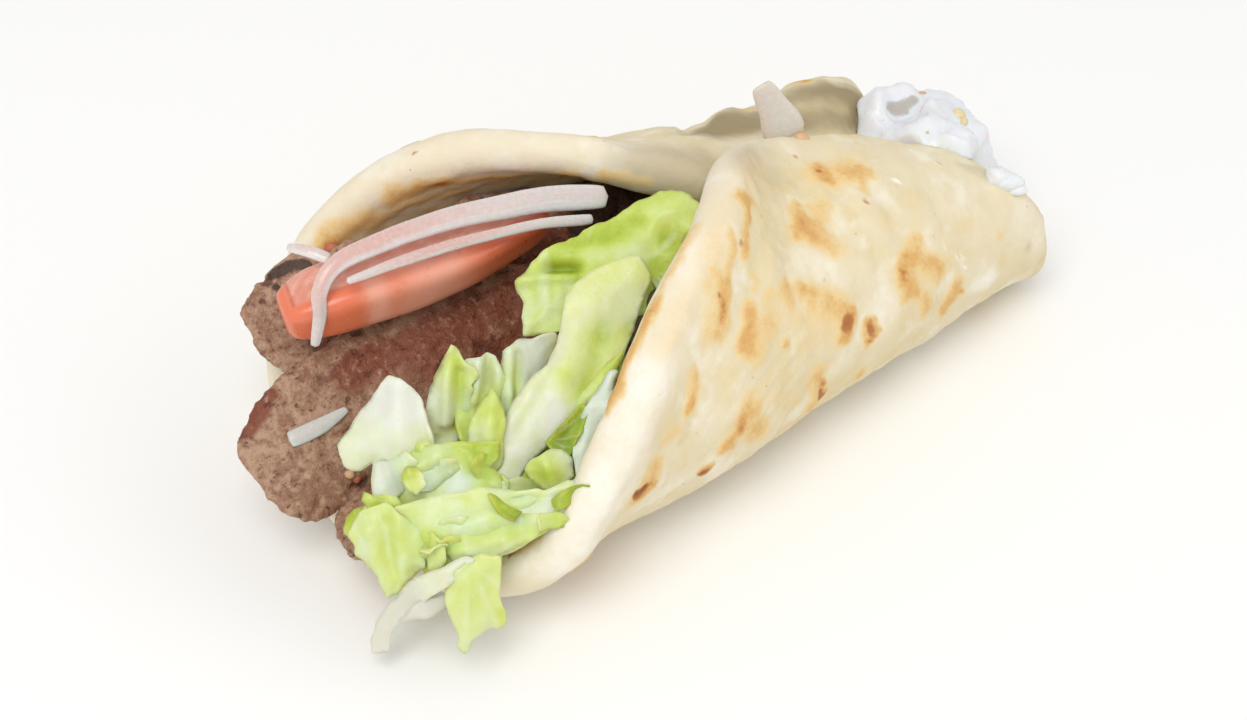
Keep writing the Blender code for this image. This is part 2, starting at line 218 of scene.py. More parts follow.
# ---- node trees
class Signal:
    """A node's output that can be used in Python expressions."""

    def __init__(self, graph: "Graph", socket: bpy.types.NodeSocket) -> None:
        """Wraps a socket of a graph."""
        self.graph = graph
        self.socket = socket

    def call(self, operation: str, *others: Any) -> "Signal":
        """A Math node on this value and the others, by its Blender name."""
        values = dict(enumerate((self, *others)))
        return self.graph.add("ShaderNodeMath", {"operation": operation}, values)[0]

    def __add__(self, other: Any) -> "Signal":
        """Sum."""
        return self.call("ADD", other)

    def __sub__(self, other: Any) -> "Signal":
        """Difference."""
        return self.call("SUBTRACT", other)

    def __rsub__(self, other: float) -> "Signal":
        """Difference with the value on the right, such as 1 - mask."""
        return self.graph.add("ShaderNodeMath", {"operation": "SUBTRACT"}, {0: other, 1: self})[0]

    def __mul__(self, other: Any) -> "Signal":
        """Product."""
        return self.call("MULTIPLY", other)

    __radd__, __rmul__ = __add__, __mul__

    def __pow__(self, other: Any) -> "Signal":
        """Power."""
        return self.call("POWER", other)

    def __abs__(self) -> "Signal":
        """Absolute value."""
        return self.call("ABSOLUTE")

    def sway(self, share: float) -> "Signal":
        """How far noise lies above or below its middle, times a share."""
        return (self - 0.5) * share

    def between(self, low: float, high: float) -> "Signal":
        """Rises smoothly from 0 at low to 1 at high; falls if high is the lower.

        Args:
            low: the value that gives 0.
            high: the value that gives 1.

        Returns:
            The mask.
        """
        values = {0: self, 1: low, 2: high, 3: 0.0, 4: 1.0}
        return self.graph.add("ShaderNodeMapRange", {"interpolation_type": "SMOOTHSTEP"}, values)[0]


class Outputs:
    """A node's outputs, by place or by name."""

    def __init__(self, graph: "Graph", node: bpy.types.Node) -> None:
        """Wraps a node of a graph."""
        self.graph = graph
        self.node = node

    def __getitem__(self, key: int | str) -> Signal:
        """The output at that place or of that name."""
        return Signal(self.graph, self.node.outputs[key])


class Graph:
    """A node tree that is written from Python expressions."""

    def __init__(self, tree: bpy.types.NodeTree) -> None:
        """Starts on a tree."""
        self.tree = tree

    def add(self, kind: str, settings: dict[str, Any] | None = None,
            values: dict[int | str, Any] | None = None) -> Outputs:
        """Adds a node.

        Args:
            kind: the node's Blender type.
            settings: its properties, set first; "stops" are a ramp's places and colours.
            values: a value or a Signal for its inputs, by place or by name.

        Returns:
            The node's outputs.
        """
        node = self.tree.nodes.new(kind)
        for name, value in (settings or {}).items():
            if name != "stops":
                setattr(node, name, value)
                continue
            elements = node.color_ramp.elements
            while len(elements) < len(value):
                elements.new(0.5)
            for element, (place, colour) in zip(elements, value):
                element.position, element.color = place, colour
        self.plug(node, values or {})
        return Outputs(self, node)

    def plug(self, node: bpy.types.Node, values: dict[int | str, Any]) -> None:
        """Links or sets a node's inputs.

        Args:
            node: the node.
            values: a Signal or a value for each input, by place or by name.
        """
        for key, value in values.items():
            if isinstance(value, Signal):
                self.tree.links.new(value.socket, node.inputs[key])
            else:
                node.inputs[key].default_value = value

    def vector(self, operation: str, *values: Any) -> Signal:
        """A Vector Math node on values."""
        return self.add("ShaderNodeVectorMath", {"operation": operation}, dict(enumerate(values)))["Vector"]

    def split(self, vector: Signal) -> tuple[Signal, Signal, Signal]:
        """The three parts of a vector."""
        parts = self.add("ShaderNodeSeparateXYZ", None, {0: vector})
        return parts[0], parts[1], parts[2]

    def join(self, x: Any, y: Any, z: Any) -> Signal:
        """A vector of three parts."""
        return self.add("ShaderNodeCombineXYZ", None, {0: x, 1: y, 2: z})[0]


class Paint(Graph):
    """A surface finish under construction: textures, masks and colours over one Principled shader."""

    def __init__(self, name: str) -> None:
        """Starts a material with Object coordinates at hand.

        Args:
            name: the material's name.
        """
        self.material = bpy.data.materials.new(name)
        self.material.use_nodes = True
        super().__init__(self.material.node_tree)
        self.shader = self.tree.nodes["Principled BSDF"]
        self.place = self.add("ShaderNodeTexCoord")["Object"]

    def mark(self, name: str) -> Signal:
        """A number that the mesh carries under that name."""
        return self.add("ShaderNodeAttribute", {"attribute_name": name})["Fac"]

    def cloud(self, size: float, detail: float = 3.0, roughness: float = 0.55, seed: float = 0.0,
              stretch: Point = (1.0, 1.0, 1.0)) -> Signal:
        """Soft noise from 0 to 1.

        Args:
            size: width of its largest patches in mm.
            detail: how many finer layers it has.
            roughness: how strong they are.
            seed: picks the pattern.
            stretch: divides its size along x, y and z.

        Returns:
            The noise.
        """
        place = self.vector("MULTIPLY_ADD", self.place, tuple(1.0 / (size * MM) * s for s in stretch),
                            (seed * 3.7, seed * 1.9, seed * 2.3))
        values = {"Vector": place, "Scale": 1.0, "Detail": detail, "Roughness": roughness}
        return self.add("ShaderNodeTexNoise", None, values)["Fac"]

    def cells(self, size: float, seed: float = 0.0) -> Signal:
        """The distance to the middle of packed cells some size mm wide."""
        place = self.vector("MULTIPLY_ADD", self.place, (1.0 / (size * MM),) * 3,
                            (seed * 2.9, seed * 1.3, seed * 4.1))
        return self.add("ShaderNodeTexVoronoi", None, {"Vector": place, "Scale": 1.0})["Distance"]

    def blend(self, first: Any, second: Any, mask: Any) -> Signal:
        """Mixes two colours: the first where mask is 0, the second where it is 1."""
        settings = {"data_type": "RGBA", "clamp_factor": True}
        return self.add("ShaderNodeMix", settings, {0: mask, 6: first, 7: second})[2]

    def coats(self, base: Any, *coats: tuple[Any, Any]) -> Signal:
        """Lays colours over each other.

        Args:
            base: the lowest colour.
            coats: each colour and its mask, from the lowest up.

        Returns:
            The mixed colour.
        """
        for colour, mask in coats:
            base = self.blend(base, colour, mask)
        return base

    def ramp(self, value: Signal, stops: Sequence[tuple[float, Colour]]) -> Signal:
        """Turns a number into the colour between its stops, which are places from 0 to 1 with a colour."""
        return self.add("ShaderNodeValToRGB", {"stops": stops}, {0: value})[0]

    def bump(self, height: Signal, depth: float, strength: float = 1.0) -> Signal:
        """The normal bent by a relief of height 0 to 1, where 1 stands for depth in mm."""
        values = {"Height": height, "Distance": depth * MM, "Strength": strength}
        return self.add("ShaderNodeBump", None, values)[0]

    def lay(self, colour: Signal, roughness: Any, normal: Signal | None = None,
            **constants: float) -> Material:
        """Connects the finish to its shader.

        Args:
            colour: base colour.
            roughness: a Signal or a number.
            normal: the relief.
            constants: values of the shader's own sockets, with _ for a space in their names.

        Returns:
            The finished material.
        """
        values = {"Base Color": colour, "Roughness": roughness}
        if normal is not None:
            values["Normal"] = normal
        values |= {name.replace("_", " "): value for name, value in constants.items()}
        self.plug(self.shader, values)
        return self.material


class Recipe(Graph):
    """A Geometry Nodes tree with named inputs, run on one object and turned into a plain mesh."""

    def __init__(self, name: str) -> None:
        """Starts a tree that takes a geometry.

        Args:
            name: the tree's name.
        """
        super().__init__(bpy.data.node_groups.new(name, "GeometryNodeTree"))
        self.tree.interface.new_socket("Geometry", in_out="INPUT", socket_type="NodeSocketGeometry")
        self.entry = self.add("NodeGroupInput")
        self.geometry = self.entry[0]
        self.identifiers: dict[str, str] = {}

    def input(self, name: str, kind: str, default: Any = None) -> Signal:
        """Adds a named input.

        Args:
            name: its name.
            kind: Float, Int, Vector or Material.
            default: its value where the caller gives none.

        Returns:
            Its value.
        """
        socket = self.tree.interface.new_socket(name, in_out="INPUT", socket_type="NodeSocket" + kind)
        if default is not None:
            socket.default_value = default
        self.identifiers[name] = socket.identifier
        return self.entry[name]

    def named(self, name: str, kind: str = "FLOAT") -> Signal:
        """An attribute of the geometry."""
        return self.add("GeometryNodeInputNamedAttribute", {"data_type": kind}, {"Name": name})[0]

    def chance(self, low: float, high: float, seed: int) -> Signal:
        """A random number from low to high."""
        return self.add("FunctionNodeRandomValue", {"data_type": "FLOAT"}, {2: low, 3: high, "Seed": seed})[1]

    def end(self, geometry: Signal, material: Signal) -> None:
        """Closes the tree.

        Args:
            geometry: what it has made; instances become real.
            material: what that is dressed in.
        """
        real = self.add("GeometryNodeRealizeInstances", None, {0: geometry})[0]
        dressed = self.add("GeometryNodeSetMaterial", None, {"Geometry": real, "Material": material})[0]
        self.tree.interface.new_socket("Geometry", in_out="OUTPUT", socket_type="NodeSocketGeometry")
        self.add("NodeGroupOutput", None, {0: dressed})

    def run(self, source: Piece, name: str, values: dict[str, Any]) -> Piece:
        """Runs the tree on an object.

        Args:
            source: the object that it works on, which stays as it was.
            name: the new piece's name.
            values: one for each named input.

        Returns:
            The new piece.
        """
        modifier = source.modifiers.new(self.tree.name, "NODES")
        modifier.node_group = self.tree
        for key, value in values.items():
            modifier[self.identifiers[key]] = value
        bpy.context.view_layer.update()
        evaluated = source.evaluated_get(bpy.context.evaluated_depsgraph_get())
        mesh = bpy.data.meshes.new_from_object(evaluated)
        source.modifiers.remove(modifier)
        mesh.name = name
        return new_object(name, mesh)


class Scatter(Recipe):
    """Geometry Nodes tree that strews small shapes over a piece, turned and sized at random.

    The piece's attribute "strewn" says where they fall.
    """

    half_turn = 3.1416
    shift = (-0.12, 0.16)

    def __init__(self, name: str) -> None:
        """Builds the tree.

        Args:
            name: its name.
        """
        super().__init__(name)
        shapes = self.input("Shapes", "Collection")
        density = self.input("Density", "Float", 4000.0)
        seed = self.input("Seed", "Int", 1)
        smallest, largest = self.input("Smallest", "Float", 0.6), self.input("Largest", "Float", 1.3)
        tilt = self.input("Tilt", "Float", 0.5)
        material = self.input("Finish", "Material")
        spots = self.add("GeometryNodeDistributePointsOnFaces", {"distribute_method": "RANDOM"},
                         {"Mesh": self.geometry, "Density": density * self.named("strewn"), "Seed": seed})
        picked = self.add("GeometryNodeCollectionInfo", None,
                          {"Collection": shapes, "Separate Children": True, "Reset Children": True})[0]
        strewn = self.add("GeometryNodeInstanceOnPoints", None,
                          {"Points": spots[0], "Instance": picked, "Pick Instance": True,
                           "Rotation": spots["Rotation"], "Scale": self.chance(smallest, largest, 3)})[0]
        lean = self.add("FunctionNodeRandomValue", {"data_type": "FLOAT_VECTOR"},
                        {0: self.join(tilt * -1.0, tilt * -1.0, -self.half_turn),
                         1: self.join(tilt, tilt, self.half_turn), "Seed": 5})[0]
        strewn = self.add("GeometryNodeRotateInstances", None, {"Instances": strewn, "Rotation": lean})[0]
        strewn = self.add("GeometryNodeStoreNamedAttribute", {"data_type": "FLOAT", "domain": "INSTANCE"},
                          {"Geometry": strewn, "Name": "shift", "Value": self.chance(*self.shift, 9)})[0]
        self.end(strewn, material)

    def strew(self, source: Piece, shapes: Sequence[Piece], name: str,
              material: Material, **values: Any) -> Piece:
        """Strews shapes over a piece.

        Args:
            source: the piece that they lie on.
            shapes: the shapes, which are used up.
            name: the new piece's name.
            material: its finish.
            values: the tree's other inputs, with _ for a space.

        Returns:
            The new piece.
        """
        group = bpy.data.collections.new(name)
        for shape in shapes:
            group.objects.link(shape)
        values = {key.replace("_", " "): value for key, value in values.items()}
        piece = self.run(source, name, values | {"Shapes": group, "Finish": material})
        for shape in shapes:
            bpy.data.objects.remove(shape)
        bpy.data.collections.remove(group)
        return piece


# ---- meshes
def sheet_faces(rows: int, columns: int, around: bool = False) -> Array:
    """Four-sided faces of a grid of points that are numbered row by row.

    Args:
        rows, columns: points each way.
        around: whether the last column joins the first.

    Returns:
        One row of four point numbers a face.
    """
    i, j = np.meshgrid(np.arange(rows - 1), np.arange(columns if around else columns - 1), indexing="ij")
    i, j = i.ravel(), j.ravel()
    k = (j + 1) % columns
    return np.stack([i * columns + j, i * columns + k, (i + 1) * columns + k, (i + 1) * columns + j], 1)


def write_marks(mesh: bpy.types.Mesh, marks: dict[str, Array]) -> None:
    """Writes a number for each point, by name."""
    for key, values in marks.items():
        mesh.attributes.new(key, "FLOAT", "POINT").data.foreach_set("value", np.asarray(values, np.float32))


def make_piece(name: str, points: Array, faces: Iterable[Sequence[int]],
               marks: dict[str, Array] | None = None) -> Piece:
    """Makes a smooth piece in metres from points in millimetres.

    Args:
        name: its name.
        points: rows of x, y, z.
        faces: point numbers of each face.
        marks: a number for each point, by name, for its finish.

    Returns:
        The piece, with its faces pointing outwards.
    """
    bm = bmesh.new()
    mesh = bpy.data.meshes.new(name)
    mesh.from_pydata((points * MM).tolist(), [], [tuple(int(i) for i in face) for face in faces])
    write_marks(mesh, marks or {})
    bm.from_mesh(mesh)
    bmesh.ops.recalc_face_normals(bm, faces=bm.faces)
    bm.to_mesh(mesh)
    bm.free()
    mesh.shade_smooth()
    return new_object(name, mesh)


def dress(piece: Piece, material: Material | None, slot: str, *nodes: str) -> None:
    """Gives a piece its finish and its place on the wrap.

    Args:
        piece: the piece.
        material: its finish, or None where it has one.
        slot: not used; the record's slot that the finish comes from, or "" for one of its own.
        nodes: the solids that it stands for.
    """
    if material is not None:
        piece.data.materials.clear()
        piece.data.materials.append(material)
    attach(piece, ROOT)
    if nodes:
        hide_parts(*nodes)
    LOG.info("%s: %d faces, stands for %s", piece.name, len(piece.data.polygons), ", ".join(nodes) or "itself")


def read_rows(values: Any, name: str) -> Array:
    """Reads three numbers of each of a mesh's values."""
    flat = np.empty(len(values) * 3, np.float32)
    values.foreach_get(name, flat)
    return flat.reshape(-1, 3).astype(float)


def points_of(piece: Piece) -> Array:
    """The piece's points in millimetres."""
    return read_rows(piece.data.vertices, "co") / MM


def normals_of(piece: Piece) -> Array:
    """The direction out of the piece at each point."""
    return read_rows(piece.data.vertex_normals, "vector")


def reshape(piece: Piece, points: Array, marks: dict[str, Array] | None = None) -> None:
    """Moves a piece's points and marks them.

    Args:
        piece: the piece.
        points: the new places in millimetres.
        marks: a number for each point, by name.
    """
    piece.data.vertices.foreach_set("co", (points * MM).astype(np.float32).ravel())
    write_marks(piece.data, marks or {})
    piece.data.update()


def settle(piece: Piece) -> Piece:
    """Turns a piece with its modifiers into a plain mesh.

    Args:
        piece: the piece.

    Returns:
        The same piece.
    """
    bpy.context.view_layer.update()
    finished = bpy.data.meshes.new_from_object(piece.evaluated_get(bpy.context.evaluated_depsgraph_get()))
    piece.modifiers.clear()
    piece.data = finished
    finished.name = piece.name
    return piece


def even_copy(node: str, name: str, size: float, rounds: int) -> Piece:
    """Copies a solid of the frame and covers it with even, small faces.

    Args:
        node: the solid's name.
        name: the copy's name.
        size: width of the new faces in mm.
        rounds: how often it is smoothed.

    Returns:
        The copy.
    """
    bm = bmesh.new()
    bm.from_mesh(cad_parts[node].data)
    bmesh.ops.remove_doubles(bm, verts=bm.verts, dist=1e-6)
    mesh = bpy.data.meshes.new(name)
    bm.to_mesh(mesh)
    bm.free()
    piece = new_object(name, mesh)
    cover = piece.modifiers.new("even", "REMESH")
    cover.mode = "VOXEL"
    cover.voxel_size = size * MM
    soften = piece.modifiers.new("soften", "SMOOTH")
    soften.factor = 0.5
    soften.iterations = rounds
    settle(piece).data.shade_smooth()
    return piece


# ---- studio
@dataclass(frozen=True)
class PhotoView:
    """The camera where the photograph was taken from, and the way from its pixels into the wrap."""

    azimuth: float = -40.0
    elevation: float = 45.0
    distance: float = 492.0
    lens: float = 70.0
    sensor: float = 36.0
    width: int = 1247
    height: int = 720
    target: Point = (-10.05, 8.06, 3.21)

    def axes(self) -> tuple[Array, Array, Array]:
        """The picture's directions.

        Returns:
            Directions to the right, up and back towards the camera.
        """
        a, e = math.radians(self.azimuth), math.radians(self.elevation)
        back = np.array([math.sin(a) * math.cos(e), -math.cos(a) * math.cos(e), math.sin(e)])
        right = np.array([math.cos(a), math.sin(a), 0.0])
        return right, np.cross(back, right), back

    def eye(self) -> Array:
        """Where the camera stands."""
        return np.array(self.target) + self.axes()[2] * self.distance

    def toward(self, pixel: Pixel) -> Array:
        """Looks through a pixel.

        Args:
            pixel: the photograph's pixel.

        Returns:
            The direction from the camera through it.
        """
        right, up, back = self.axes()
        reach = self.lens / self.sensor * self.width
        ray = right * (pixel[0] - self.width / 2) - up * (pixel[1] - self.height / 2) - back * reach
        return ray / np.linalg.norm(ray)

    def stand(self) -> None:
        """Makes the scene's camera."""
        camera = new_object("camera", bpy.data.cameras.new("camera"))
        camera.data.lens = self.lens
        camera.data.sensor_width = self.sensor
        camera.data.sensor_fit = "HORIZONTAL"
        camera.data.clip_start = 0.01
        matrix = np.eye(4)
        matrix[:3] = np.stack([*self.axes(), self.eye() * MM], 1)
        camera.matrix_world = Matrix(matrix.tolist())
        bpy.context.scene.camera = camera


VIEW = PhotoView()
RIGHT, UP, BACK = VIEW.axes()
EYE = VIEW.eye()


@dataclass(frozen=True)
class Mark:
    """A spot on a piece: the photograph's pixels that it runs through and its half width in mm."""

    pixels: tuple[Pixel, ...]
    radius: float
    strength: float


Marks = tuple[Mark, ...]


def pixels(*numbers: float) -> tuple[Pixel, ...]:
    """Pairs up the x and y of a row of pixels."""
    return tuple(zip(numbers[::2], numbers[1::2]))


def traces(*rows: Sequence[float]) -> Marks:
    """Marks from rows of a half width in mm, a strength, and the x and y of each pixel in turn."""
    return tuple(Mark(pixels(*row[2:]), row[0], row[1]) for row in rows)


class Target:
    """A piece that pixels of the photograph are cast on."""

    def __init__(self, piece: Piece) -> None:
        """Keeps the faces for quick casting.

        Args:
            piece: the piece as it is now.
        """
        mesh = piece.data
        mesh.calc_loop_triangles()
        corners = np.empty(len(mesh.loop_triangles) * 3, np.int32)
        mesh.loop_triangles.foreach_get("vertices", corners)
        self.tree = BVHTree.FromPolygons([Vector(p) for p in points_of(piece)], corners.reshape(-1, 3).tolist())

    def cast(self, pixel: Pixel) -> Array | None:
        """Casts a pixel on the piece.

        Args:
            pixel: the photograph's pixel.

        Returns:
            The place in mm where it falls, or None beside the piece.
        """
        hit = self.tree.ray_cast(Vector(EYE), Vector(VIEW.toward(pixel)))[0]
        return None if hit is None else np.array(hit)

    def path(self, pixels: Sequence[Pixel]) -> Array:
        """The places where pixels fall on the piece, without those beside it."""
        found = [spot for spot in (self.cast(pixel) for pixel in pixels) if spot is not None]
        return np.array(found).reshape(-1, 3)

    def spots(self, points: Array, marks: Sequence[Mark], full: float, end: float, rough: Any = 0.0) -> Array:
        """How strongly points lie in any of some marks.

        Args:
            points: the points in mm.
            marks: where, how wide and how strong.
            full, end: where a mark begins to fade and where it ends, in radii.
            rough: unevenness of the border, in radii.

        Returns:
            One number a point.
        """
        strength = np.zeros(len(points))
        for mark in marks:
            reach = distance_to_path(points, self.path(mark.pixels)) / mark.radius + rough
            strength = np.maximum(strength, mark.strength * ease(end, full, reach))
        return strength

    def pull(self, points: Array, marks: Sequence[Mark], depth: float = 0.35) -> Array:
        """How far marks push a piece's points up the picture.

        Args:
            points: the points in mm.
            marks: where, how wide and how far in mm; a negative strength pushes down.
            depth: how much a point's distance behind or before the mark counts.

        Returns:
            One number a point, in mm.
        """
        turn = np.stack((RIGHT, UP, BACK), 1) * (1.0, 1.0, depth)
        total = np.zeros(len(points))
        for mark in marks:
            path = self.path(mark.pixels)
            if len(path):
                total += mark.strength * ease(1.8, 0.15, distance_to_path(points @ turn, path @ turn) / mark.radius)
        return total


@dataclass(frozen=True)
class Lamp:
    """One soft studio light, a square panel that looks at the wrap."""

    name: str
    place: Point
    size: float
    power: float
    tint: tuple[float, float, float] = (1.0, 1.0, 1.0)

    def hang(self, aim: Vector) -> None:
        """Makes the light.

        Args:
            aim: the place in metres that it looks at.
        """
        panel = bpy.data.lights.new(self.name, "AREA")
        panel.shape = "SQUARE"
        panel.size = self.size
        panel.energy = self.power
        panel.color = self.tint
        lamp = new_object(self.name, panel)
        lamp.location = self.place
        lamp.rotation_euler = (aim - Vector(self.place)).to_track_quat("-Z", "Y").to_euler()


@dataclass
class Studio:
    """The pale floor, the even daylight and the lamps."""

    floor_size: float = 8.0
    floor_colour: Colour = paint(250, 250, 249)
    sky: float = 0.66
    lamps: tuple[Lamp, ...] = (
        Lamp("key_light", (-0.55, -0.35, 1.15), 0.7, 8.0, (1.0, 0.985, 0.96)),
        Lamp("fill_light", (0.7, -0.8, 0.7), 0.9, 1.4, (0.97, 0.985, 1.0)),
    )

    def floor_finish(self) -> Material:
        """Matt pale floor with the faintest unevenness."""
        p = Paint("studio_floor")
        pale = tuple(c * 0.97 for c in self.floor_colour[:3]) + (1.0,)
        return p.lay(p.blend(self.floor_colour, pale, p.cloud(400.0, 2.0)), 0.9)

    def build(self) -> None:
        """Makes floor, world and lamps, and shows colours as they are."""
        half = self.floor_size / MM / 2
        corners = np.array([[-half, -half, 0], [half, -half, 0], [half, half, 0], [-half, half, 0]])
        floor = make_piece("studio_floor", corners, [(0, 1, 2, 3)])
        floor.data.materials.append(self.floor_finish())
        world = bpy.data.worlds.new("daylight")
        world.use_nodes = True
        light = world.node_tree.nodes["Background"].inputs
        light["Color"].default_value = (1.0, 1.0, 1.0, 1.0)
        light["Strength"].default_value = self.sky
        bpy.context.scene.world = world
        for lamp in self.lamps:
            lamp.hang(Vector((0.0, 0.0, 0.02)))
        bpy.context.scene.view_settings.view_transform = "Standard"


# ---- bread
@dataclass(frozen=True)
class Flap:
    """One side of the fold, with a value for each station along it, as the solid has it."""

    side: int
    reach: float
    flat: Numbers
    radius: Numbers
    turn: Numbers
    curl: Numbers
    skew: Numbers


NEAR_FLAP = Flap(side=-1, reach=93.0, flat=(16, 9.5, 7.6, 8, 8.2, 12, 15.3),
                 radius=(24.6, 22.3, 23.3, 20.7, 19, 14.4, 10.4), turn=(49, 98.5, 125.5, 158.5, 189, 174.5, 130.5),
                 curl=(0.2, 0.3, 0.6, 0.8, 0.6, 0.6, 0.5), skew=(29, 26.5, 22, 12.5, 4, -0.5, -1))
FAR_FLAP = Flap(side=1, reach=88.5, flat=(16, 19, 19, 13, 11, 10, 12),
                radius=(34, 29.5, 24.5, 19.5, 15.6, 13.2, 8), turn=(60, 82, 118, 166, 192, 200, 120),
                curl=(0.2, 0.6, 1.0, 1.5, 1.8, 1.5, 1.0), skew=(0, 0, 0, 0, 0, 0, 0))


@dataclass(frozen=True)
class Fold:
    """The pita's middle surface: u runs along the fold and v across it, both in mm over the bread."""

    thickness: float = 7.0
    lift: Numbers = (8.0, 3.5, 0.5, 0.0, 0.0, 0.0, 0.0)
    first: float = -90.0
    step: float = 30.0
    ease: float = 1.15
    steps: int = 40
    lean_power: float = 1.25
    slope_step: float = 0.5

    def station(self, values: Sequence[float], u: Array) -> Array:
        """A flap's value u mm along the fold."""
        return through(values, (u - self.first) / (self.step * (len(values) - 1)))

    def flap_value(self, name: str, u: Array, near: Array) -> Array:
        """A value of the flap that each place belongs to."""
        return np.where(near, self.station(getattr(NEAR_FLAP, name), u),
                        self.station(getattr(FAR_FLAP, name), u))

    def point(self, u: Array, v: Array) -> Array:
        """Places of the middle surface.

        Args:
            u, v: places on the bread.

        Returns:
            Rows of x, y, z.
        """
        near = v < 0
        flat, radius = self.flap_value("flat", u, near), self.flap_value("radius", u, near)
        turn = np.radians(self.flap_value("turn", u, near))
        curl = np.radians(self.flap_value("curl", u, near))
        end = flat + turn * radius * self.ease
        distance = np.abs(v)
        step = distance / self.steps
        across = np.zeros(len(u))
        up = self.station(self.lift, u) + self.thickness / 2
        for i in range(self.steps):
            s = (i + 0.5) * step
            t = np.clip((s - flat) / (end - flat), 0.0, 1.0)
            angle = turn * (0.5 * t + 0.5 * t * t * (3.0 - 2.0 * t)) + curl * np.maximum(s - end, 0.0)
            across += np.cos(angle) * step
            up += np.sin(angle) * step
        reach = np.where(near, NEAR_FLAP.reach, FAR_FLAP.reach)
        lean = self.flap_value("skew", u, near) * (distance / reach) ** self.lean_power
        return np.stack([u + lean, np.where(near, -1.0, 1.0) * across, up], 1)

    def normal(self, u: Array, v: Array) -> Array:
        """Directions out of the wrap.

        Args:
            u, v: places on the bread.

        Returns:
            Rows of x, y, z.
        """
        h = self.slope_step
        along = self.point(u + h, v) - self.point(u - h, v)
        across = self.point(u, v + h) - self.point(u, v - h)
        return unit(np.cross(across, along))


@dataclass(frozen=True)
class BreadFinish:
    """Baked flat bread: pale, mealy crumb, golden toasting, brown scorched cores, painted shade and painted light.
    """

    crumb: Colour = paint(231, 219, 189)
    pale: Colour = paint(241, 234, 215)
    cream: Colour = paint(226, 210, 170)
    warm: Colour = paint(226, 203, 152)
    # Whitish colour of the dusted bread, and of painted light on the lit rims and the far flap's inner wall.
    flour: Colour = paint(250, 246, 236)
    golden: Colour = paint(233, 205, 149)
    toast: Colour = paint(219, 171, 103)
    brown: Colour = paint(184, 119, 66)
    char: Colour = paint(104, 58, 36)
    # Painted shade: a brownish colour for the far flap's crest and the rims that lie in shade.
    olive: Colour = paint(160, 144, 111)

    def material(self) -> Material:
        """Builds the finish from the marks that the mesh carries.

        Returns:
            The material.
        """
        p = Paint("pita_bread")
        broad, mid, fine = p.cloud(26.0, 3.0, seed=1), p.cloud(5.0, 4.0, 0.6, seed=2), p.cloud(1.3, 3.0, 0.6, seed=3)
        grain = p.cloud(0.5, 2.0, 0.5, seed=4)
        toast = p.mark("toast") * (0.9 + mid.sway(0.9) + fine.sway(0.8) + grain.sway(0.3))
        scorch = p.mark("char") * (1.0 + fine.sway(0.9) + grain.sway(0.4))
        specks = p.cells(3.4, 2.0).between(0.1, 0.04) * p.cloud(9.0, 1.0, seed=7).between(0.5, 0.62)
        base = p.coats(
            self.crumb,
            (self.cream, (broad * 0.7 + mid * 0.5).between(0.38, 0.78)),
            (self.warm, (mid * 0.6 + broad * 0.6).between(0.6, 0.84) * 0.6),
            (self.pale, p.cloud(11.0, 3.0, 0.6, seed=9).between(0.5, 0.68) * 0.75),
            # Paler rim towards the left end: a white dusting, and painted light where the key light falls.
            (self.flour, (p.mark("rim") + mid.sway(0.4)).between(0.1, 0.9) * 0.9),
            # White dusting in creases and rumpled patches, and painted light on the near flap's left rim and the far
            # flap's inner wall.
            (self.flour, (p.mark("flour") + mid.sway(0.5) + fine.sway(0.3)).between(0.1, 0.9)),
            # Painted shade on the far flap's crest and rims.
            (self.olive, (p.mark("olive") + mid.sway(0.2)).between(0.05, 1.0)),
            (self.golden, toast.between(0.04, 0.5)),
            (self.toast, toast.between(0.34, 0.95) * 0.92),
            (self.brown, toast.between(0.9, 1.4) * 0.85),
            (self.brown, scorch.between(0.1, 0.6)),
            (self.char, scorch.between(0.6, 1.15) * 0.8),
            (self.brown, specks * 0.4))
        height = fine * 0.5 + grain * 0.2 + p.cloud(2.6, 2.0, seed=6) * 0.5
        rough = 0.74 + mid.sway(0.15) - toast.between(0.5, 1.2) * 0.14
        return p.lay(base, rough, p.bump(height, 0.26, 0.8), Subsurface_Weight=0.08, Subsurface_Scale=0.004,
                     Specular_IOR_Level=0.3)


